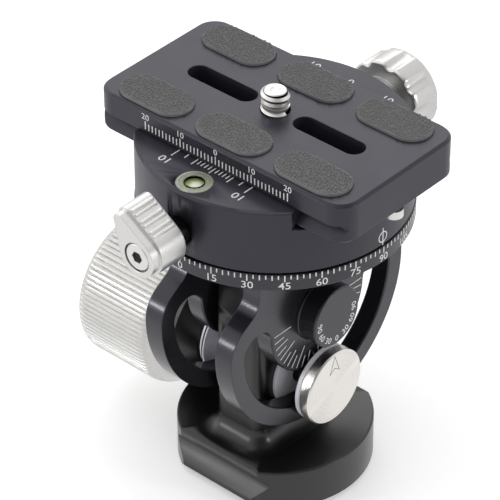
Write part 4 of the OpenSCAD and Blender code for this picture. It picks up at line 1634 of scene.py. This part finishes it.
    def tilt_scale(self) -> None:
        """Makes the fan of ticks on the cheek, every 7.5 degrees."""
        ticks = self.recipes.ticks.run(WHITE_MARK, {
            "Count": 25, "First angle": math.radians(-180.0), "Angle step": math.radians(7.5),
            "Anchor": (self.tilt_tick_r, 0.0, 0.0), "Direction": (-1.0, 0.0, 0.0),
            "Section": (0.0, 0.2, 2 * PROUD), "Short": 3.0, "Medium": 4.0, "Long": 5.4,
            "Medium every": 2, "Long every": 4,
        })
        marks = Workpiece().add(ticks, Lay.ALONG_X.at(self.cheek_x, 0.0, TILT_Z))
        marks.piece("tilt_scale", "yoke", WHITE_MARK)

    def dial(self) -> None:
        """Makes the dial's figures, whose tops point to its middle."""
        marks = Workpiece()
        face = Lay.ALONG_X.at(self.dial_x, 0.0, TILT_Z)
        for degrees in range(-90, 91, 30):
            turned = Matrix.Rotation(math.radians(degrees), 4, "Z")
            marks.add(lettering(str(abs(degrees)), self.dial_figure),
                      face @ turned @ Matrix.Translation((0, -self.figure_r, 0)))
        marks.piece("dial_figures", "yoke", WHITE_MARK)


@dataclass
class MonopodBase:
    """The base: round, with a dovetail on two sides and a lug, its washers and the disc's arrow."""

    recipes: Recipes
    radius: float = 22.3
    height: float = 11.5
    chamfer: float = 0.5
    foot_chamfer: float = 1.4
    cad_height: float = 10.8
    cad_fillet_r: float = 2.8
    fillet_r: float = 4.4
    lug_x: float = 6.8
    lug_y: float = 13.0
    lug_corner_r: float = 2.8
    # How far the lug is led down into the disc
    lug_sunk: float = 2.0
    foot_steps: int = 12
    # A dovetail side from below, in y and height, up to the lip's edge: a sloped foot and a notch
    dovetail_side: tuple[Pair, ...] = ((17.8, -1.0), (17.8, 0.0), (20.0, 2.2), (20.0, 3.3), (17.6, 7.2),
                                       (17.6, 8.0), (19.2, 9.6))
    disc_x: float = 17.4
    # The arrow on the disc, from its tip
    arrow_shape: tuple[Pair, ...] = ((0.0, 8.5), (-1.55, 4.2), (0.0, 5.3), (1.55, 4.2))
    arrow_line: float = 0.11
    # The insert's thread: 3/8 inch with 16 turns to the inch
    bore_r: float = 6.0
    bore_depth: float = 12.0
    thread_r: float = 3.97
    ridge_r: float = 0.72
    pitch: float = 1.5875

    def build(self) -> None:
        """Builds the base, its thread, the washers and the arrow."""
        self.block()
        self.thread()
        self.lock_washers()
        self.arrow()

    def dovetail(self, side: int) -> Mesh:
        """Makes what the dovetail takes off one side.

        Args:
            side: -1 for the front, 1 for the back.

        Returns:
            The mesh that is cut off.
        """
        out, lip, top = self.radius + 2.0, self.dovetail_side[-1][0], self.height
        outline = [*self.dovetail_side, (lip, top - self.chamfer), (lip - 0.5, top), (lip - 0.5, top + 1),
                   (out, top + 1), (out, -1.0)]
        outline = [(side * y, z) for y, z in outline]
        return Workpiece().extrude(outline, -out, out, Lay.ALONG_X.at()).mesh("dovetail")

    def foot(self) -> Mesh:
        """Makes the flare that leads from the disc's top up to the lug's four sides.

        Returns:
            The mesh.
        """
        sections = []
        for step in range(self.foot_steps + 1):
            angle = math.radians(2.0 + 88.0 * step / self.foot_steps)
            wider = self.fillet_r * (1 - math.sin(angle))
            outline = rounded_rectangle(self.lug_x + wider, self.lug_y + wider, self.lug_corner_r + wider, 8)
            sections.append((outline, self.height - 0.002 + self.fillet_r * (1 - math.cos(angle))))
        sections.insert(0, (sections[0][0], self.height - 1.0))
        return Workpiece().loft(sections).mesh("flare")

    def block(self) -> None:
        """Joins a new disc to the CAD's lug, whose lower end is cut off and led down into the disc."""
        outer, top = self.radius, self.height
        mesh = Workpiece().turn([
            (0, 0), (outer - self.foot_chamfer, 0), (outer, self.foot_chamfer), (outer, top - self.chamfer),
            (outer - self.chamfer, top), (0, top),
        ], 160).mesh("disc")
        for side in (-1, 1):
            mesh = carved(mesh, self.dovetail(side))
        lug = bmesh.new()
        lug.from_mesh(cad_copy("base_block"))
        cut = bmesh.ops.bisect_plane(lug, geom=lug.verts[:] + lug.edges[:] + lug.faces[:],
                                     plane_co=(0, 0, self.cad_height + self.cad_fillet_r + 0.1),
                                     plane_no=(0, 0, 1), clear_inner=True)
        rim = [e for e in cut["geom_cut"] if isinstance(e, bmesh.types.BMEdge)]
        sunk = bmesh.ops.extrude_edge_only(lug, edges=rim)["geom"]
        for vertex in (v for v in sunk if isinstance(v, bmesh.types.BMVert)):
            vertex.co.z = top - self.lug_sunk
        bmesh.ops.holes_fill(lug, edges=[e for e in sunk if isinstance(e, bmesh.types.BMEdge)], sides=0)
        raised = bpy.data.meshes.new("lug")
        bmesh.ops.recalc_face_normals(lug, faces=lug.faces)
        lug.to_mesh(raised)
        lug.free()
        bore = [(0, -1), (self.bore_r, -1), (self.bore_r, self.bore_depth), (0, self.bore_depth)]
        mesh = carved(carved(mesh, raised, "UNION"), self.foot(), "UNION")
        mesh = carved(mesh, Workpiece().turn(bore, 72).mesh("bore"))
        block = Workpiece().add(mesh)
        block.piece("dovetail_base", "base", BLACK_GLOSSY, "black_anodised", ("base_block",), 24.0)

    def thread(self) -> None:
        """Makes the brass insert with its 3/8 inch thread."""
        outer, depth = self.bore_r, self.bore_depth
        insert = Workpiece().turn([(4.95, 0.0), (outer - 0.2, 0.0), (outer, 0.2), (outer, depth),
                                   (4.6, depth), (4.6, 0.35)], 72, ring=True)
        turns = (depth - 1.6) / self.pitch
        insert.add(self.recipes.thread.run(BRASS, {
            "Turns": turns, "Radius": self.thread_r + self.ridge_r, "Height": turns * self.pitch,
            "Ridge": self.ridge_r,
        }), Matrix.Translation((0, 0, 0.8)))
        insert.piece("threaded_insert", "base", BRASS, "brass", ("base_thread_insert",))

    def lock_washers(self) -> None:
        """Makes the washers against the cheeks: dark steel, with white nylon between knob and cheek."""
        for name, finish, slot, outer, near, far in (
            ("dark_lock_washer", BLACKED_STEEL, "black_steel", 7.8, 12.55, 13.45),
            ("dark_knob_washer", BLACKED_STEEL, "black_steel", 10.0, -13.45, -12.9),
            ("pale_lock_washer", NYLON, "low_friction_polymer", 10.2, -12.88, -12.55),
        ):
            washer = Workpiece().turn([
                (3.0, near), (outer - 0.05, near), (outer, near + 0.05), (outer, far - 0.05),
                (outer - 0.05, far), (3.0, far),
            ], 72, Lay.ALONG_X.at(0.0, 0.0, LOCK_Z), ring=True)
            washer.piece(name, "base", finish, slot, ("lock_washers",))

    def arrow(self) -> None:
        """Makes the thin arrow that points to the dial, as a line round its shape."""
        line = Workpiece()
        place = Lay.ALONG_X.at(self.disc_x, 0.0, LOCK_Z)
        points = [Vector(point) for point in self.arrow_shape]
        for start, end in zip(points, points[1:] + points[:1]):
            along = (end - start).normalized() * self.arrow_line / 2
            side = Vector((-along.y, along.x))
            line.extrude([start - along - side, end + along - side, end + along + side,
                          start - along + side], -PROUD, PROUD, place)
        line.piece("index_arrow", "base", DARK_MARK)


# Studio


@dataclass(frozen=True)
class Lamp:
    """A soft box: its place and what it points at in millimetres, its size and its power."""

    name: str
    place: Point
    target: Point
    width: float
    height: float
    watts: float

    def build(self) -> None:
        """Adds the lamp to the scene."""
        data = bpy.data.lights.new(self.name, "AREA")
        data.shape = "RECTANGLE"
        data.size = self.width * MM
        data.size_y = self.height * MM
        data.energy = self.watts
        lamp = put(self.name, data)
        lamp.location = metres(self.place)
        lamp.rotation_euler = (metres(self.target) - lamp.location).to_track_quat("-Z", "Y").to_euler()


LAMPS = (
    Lamp("box_behind", (-470.0, 520.0, 560.0), (0.0, 0.0, 60.0), 700.0, 500.0, 1.2),
    Lamp("box_above", (-100.0, -100.0, 800.0), (0.0, 0.0, 60.0), 600.0, 600.0, 1.0),
    Lamp("box_left", (-650.0, -250.0, 300.0), (0.0, 0.0, 50.0), 400.0, 500.0, 0.7),
    Lamp("strip_front", (-486.0, -738.0, 267.0), (0.0, 0.0, 50.0), 200.0, 60.0, 1.1),
    Lamp("box_right", (800.0, 250.0, 300.0), (0.0, 0.0, 40.0), 140.0, 110.0, 1.3),
)
WHITE = (1.0, 1.0, 1.0, 1.0)


def ray_share(tree: Tree, *kinds: str) -> Socket:
    """Tells kinds of light path from the others.

    Args:
        tree: The floor's or the world's tree.
        *kinds: Names of the Light Path's outputs.

    Returns:
        1 for a ray of any of the kinds, 0 for another.
    """
    outputs = add_node(tree, "ShaderNodeLightPath").outputs
    share = outputs[kinds[0]]
    for kind in kinds[1:]:
        share = add_node(tree, "ShaderNodeMath", {0: share, 1: outputs[kind]}, operation="MAXIMUM").outputs[0]
    return share


@dataclass(frozen=True)
class Studio:
    """A pale floor, soft boxes, a white surround and the photograph's camera."""

    # Direction from the object to the camera, in degrees: turn from the front, height and roll
    azimuth: float = 41.86
    elevation: float = 36.40
    roll: float = -0.34
    distance: float = 700.0
    # Point on the pan axis that the camera was fitted to, and where the picture has it
    fit_z: float = 72.0
    fit_pixel: Pair = (275.39, 191.6)
    picture: float = 500.0
    pixels_per_mm: float = 4.64
    sensor: float = 36.0
    surround: float = 0.66
    # The studio's dim side, which gives bright metal its darker bands: where it is, the cosines at which
    # it starts and is dimmest, and its light
    dim_side: Point = (0.85, -0.35, 0.45)
    dim_start: float = 0.45
    dim_full: float = 0.95
    dim_strength: float = 0.25
    floor_r: float = 1500.0
    floor_colour: str = "#f4f4f4"
    # Light that the camera sees the floor give, besides what falls on it
    floor_glow: float = 0.32

    def build(self) -> None:
        """Makes the floor, surround, lamps and camera."""
        self.make_world()
        self.make_floor()
        self.make_camera()
        for lamp in LAMPS:
            lamp.build()
        bpy.context.scene.view_settings.view_transform = "Standard"

    def make_world(self) -> None:
        """Makes an even pale surround, which the camera and reflections see white, with a dim side."""
        world = bpy.data.worlds.new("surround")
        bpy.context.scene.world = world
        tree = empty_tree(world)
        seen = ray_share(tree, "Is Camera Ray", "Is Transmission Ray", "Is Glossy Ray")
        way = add_node(tree, "ShaderNodeTexCoord").outputs["Generated"]
        towards = vector_math(tree, "DOT_PRODUCT", way, Vector(self.dim_side).normalized(), output="Value")
        fall = add_node(tree, "ShaderNodeMapRange",
                        {0: towards, 1: self.dim_start, 2: self.dim_full, 3: 1.0, 4: self.dim_strength},
                        interpolation_type="SMOOTHSTEP").outputs[0]
        mirrored = add_node(tree, "ShaderNodeMix", {0: ray_share(tree, "Is Glossy Ray"), 2: 1.0, 3: fall},
                            data_type="FLOAT").outputs[0]
        strength = add_node(tree, "ShaderNodeMapRange", {0: seen, 3: self.surround, 4: mirrored}).outputs[0]
        light = add_node(tree, "ShaderNodeBackground", {"Color": WHITE, "Strength": strength})
        add_node(tree, "ShaderNodeOutputWorld", {"Surface": light.outputs[0]})

    def make_floor(self) -> None:
        """Makes a round floor that is white in reflections and keeps the object's shadow."""
        mesh = bpy.data.meshes.new("floor")
        build = bmesh.new()
        bmesh.ops.create_circle(build, cap_ends=True, segments=96, radius=self.floor_r * MM)
        build.to_mesh(mesh)
        build.free()
        material = bpy.data.materials.new("floor_paper")
        tree = empty_tree(material)
        paper = add_node(tree, "ShaderNodeBsdfDiffuse", {"Color": srgb(self.floor_colour)}).outputs[0]
        glow, white = (add_node(tree, "ShaderNodeEmission", {"Color": WHITE, "Strength": strength}).outputs[0]
                       for strength in (self.floor_glow, 1.0))
        lifted = add_node(tree, "ShaderNodeAddShader", {0: paper, 1: glow}).outputs[0]
        looked = add_node(tree, "ShaderNodeMixShader",
                          {0: ray_share(tree, "Is Camera Ray"), 1: paper, 2: lifted}).outputs[0]
        mirrored = ray_share(tree, "Is Glossy Ray", "Is Transmission Ray")
        seen = add_node(tree, "ShaderNodeMixShader", {0: mirrored, 1: looked, 2: white}).outputs[0]
        add_node(tree, "ShaderNodeOutputMaterial", {"Surface": seen})
        mesh.materials.append(material)
        put("floor", mesh)

    def make_camera(self) -> None:
        """Places the camera so that the fitted point falls on its pixel."""
        turn, rise, roll = (math.radians(v) for v in (self.azimuth, self.elevation, self.roll))
        back = Vector((math.sin(turn) * math.cos(rise), -math.cos(turn) * math.cos(rise), math.sin(rise)))
        level = Vector((math.cos(turn), math.sin(turn), 0.0))
        above = back.cross(level)
        right = level * math.cos(roll) + above * math.sin(roll)
        up = above * math.cos(roll) - level * math.sin(roll)
        half = self.picture / 2
        shift_x = (self.fit_pixel[0] - half) / self.pixels_per_mm
        shift_y = (half - self.fit_pixel[1]) / self.pixels_per_mm
        place = Vector((0.0, 0.0, self.fit_z)) + back * self.distance - right * shift_x - up * shift_y
        data = bpy.data.cameras.new("camera")
        data.sensor_fit = "HORIZONTAL"
        data.sensor_width = self.sensor
        data.lens = self.pixels_per_mm * self.distance / self.picture * self.sensor
        data.clip_start = 0.05
        data.clip_end = 20.0
        camera = put("camera", data)
        turned = Matrix((right, up, back)).transposed().to_4x4()
        camera.matrix_world = Matrix.Translation(place * MM) @ turned
        bpy.context.scene.camera = camera


def main() -> None:
    """Builds the looks round the frame."""
    logging.basicConfig(level=logging.INFO, format="%(name)s: %(message)s")
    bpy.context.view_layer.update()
    Studio().build()
    dress_frame()
    LOG.info("dressed %d CAD nodes", len(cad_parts))
    recipes = Recipes.make()
    for part in (QuickReleasePlate(recipes), CameraScrew(recipes), PanClamp(recipes), SpiritLevel(),
                 ClampKnob(recipes), WingLever(), TiltYoke(recipes), TiltKnob(recipes),
                 MonopodBase(recipes)):
        part.build()


if __name__ == "__main__":
    main()
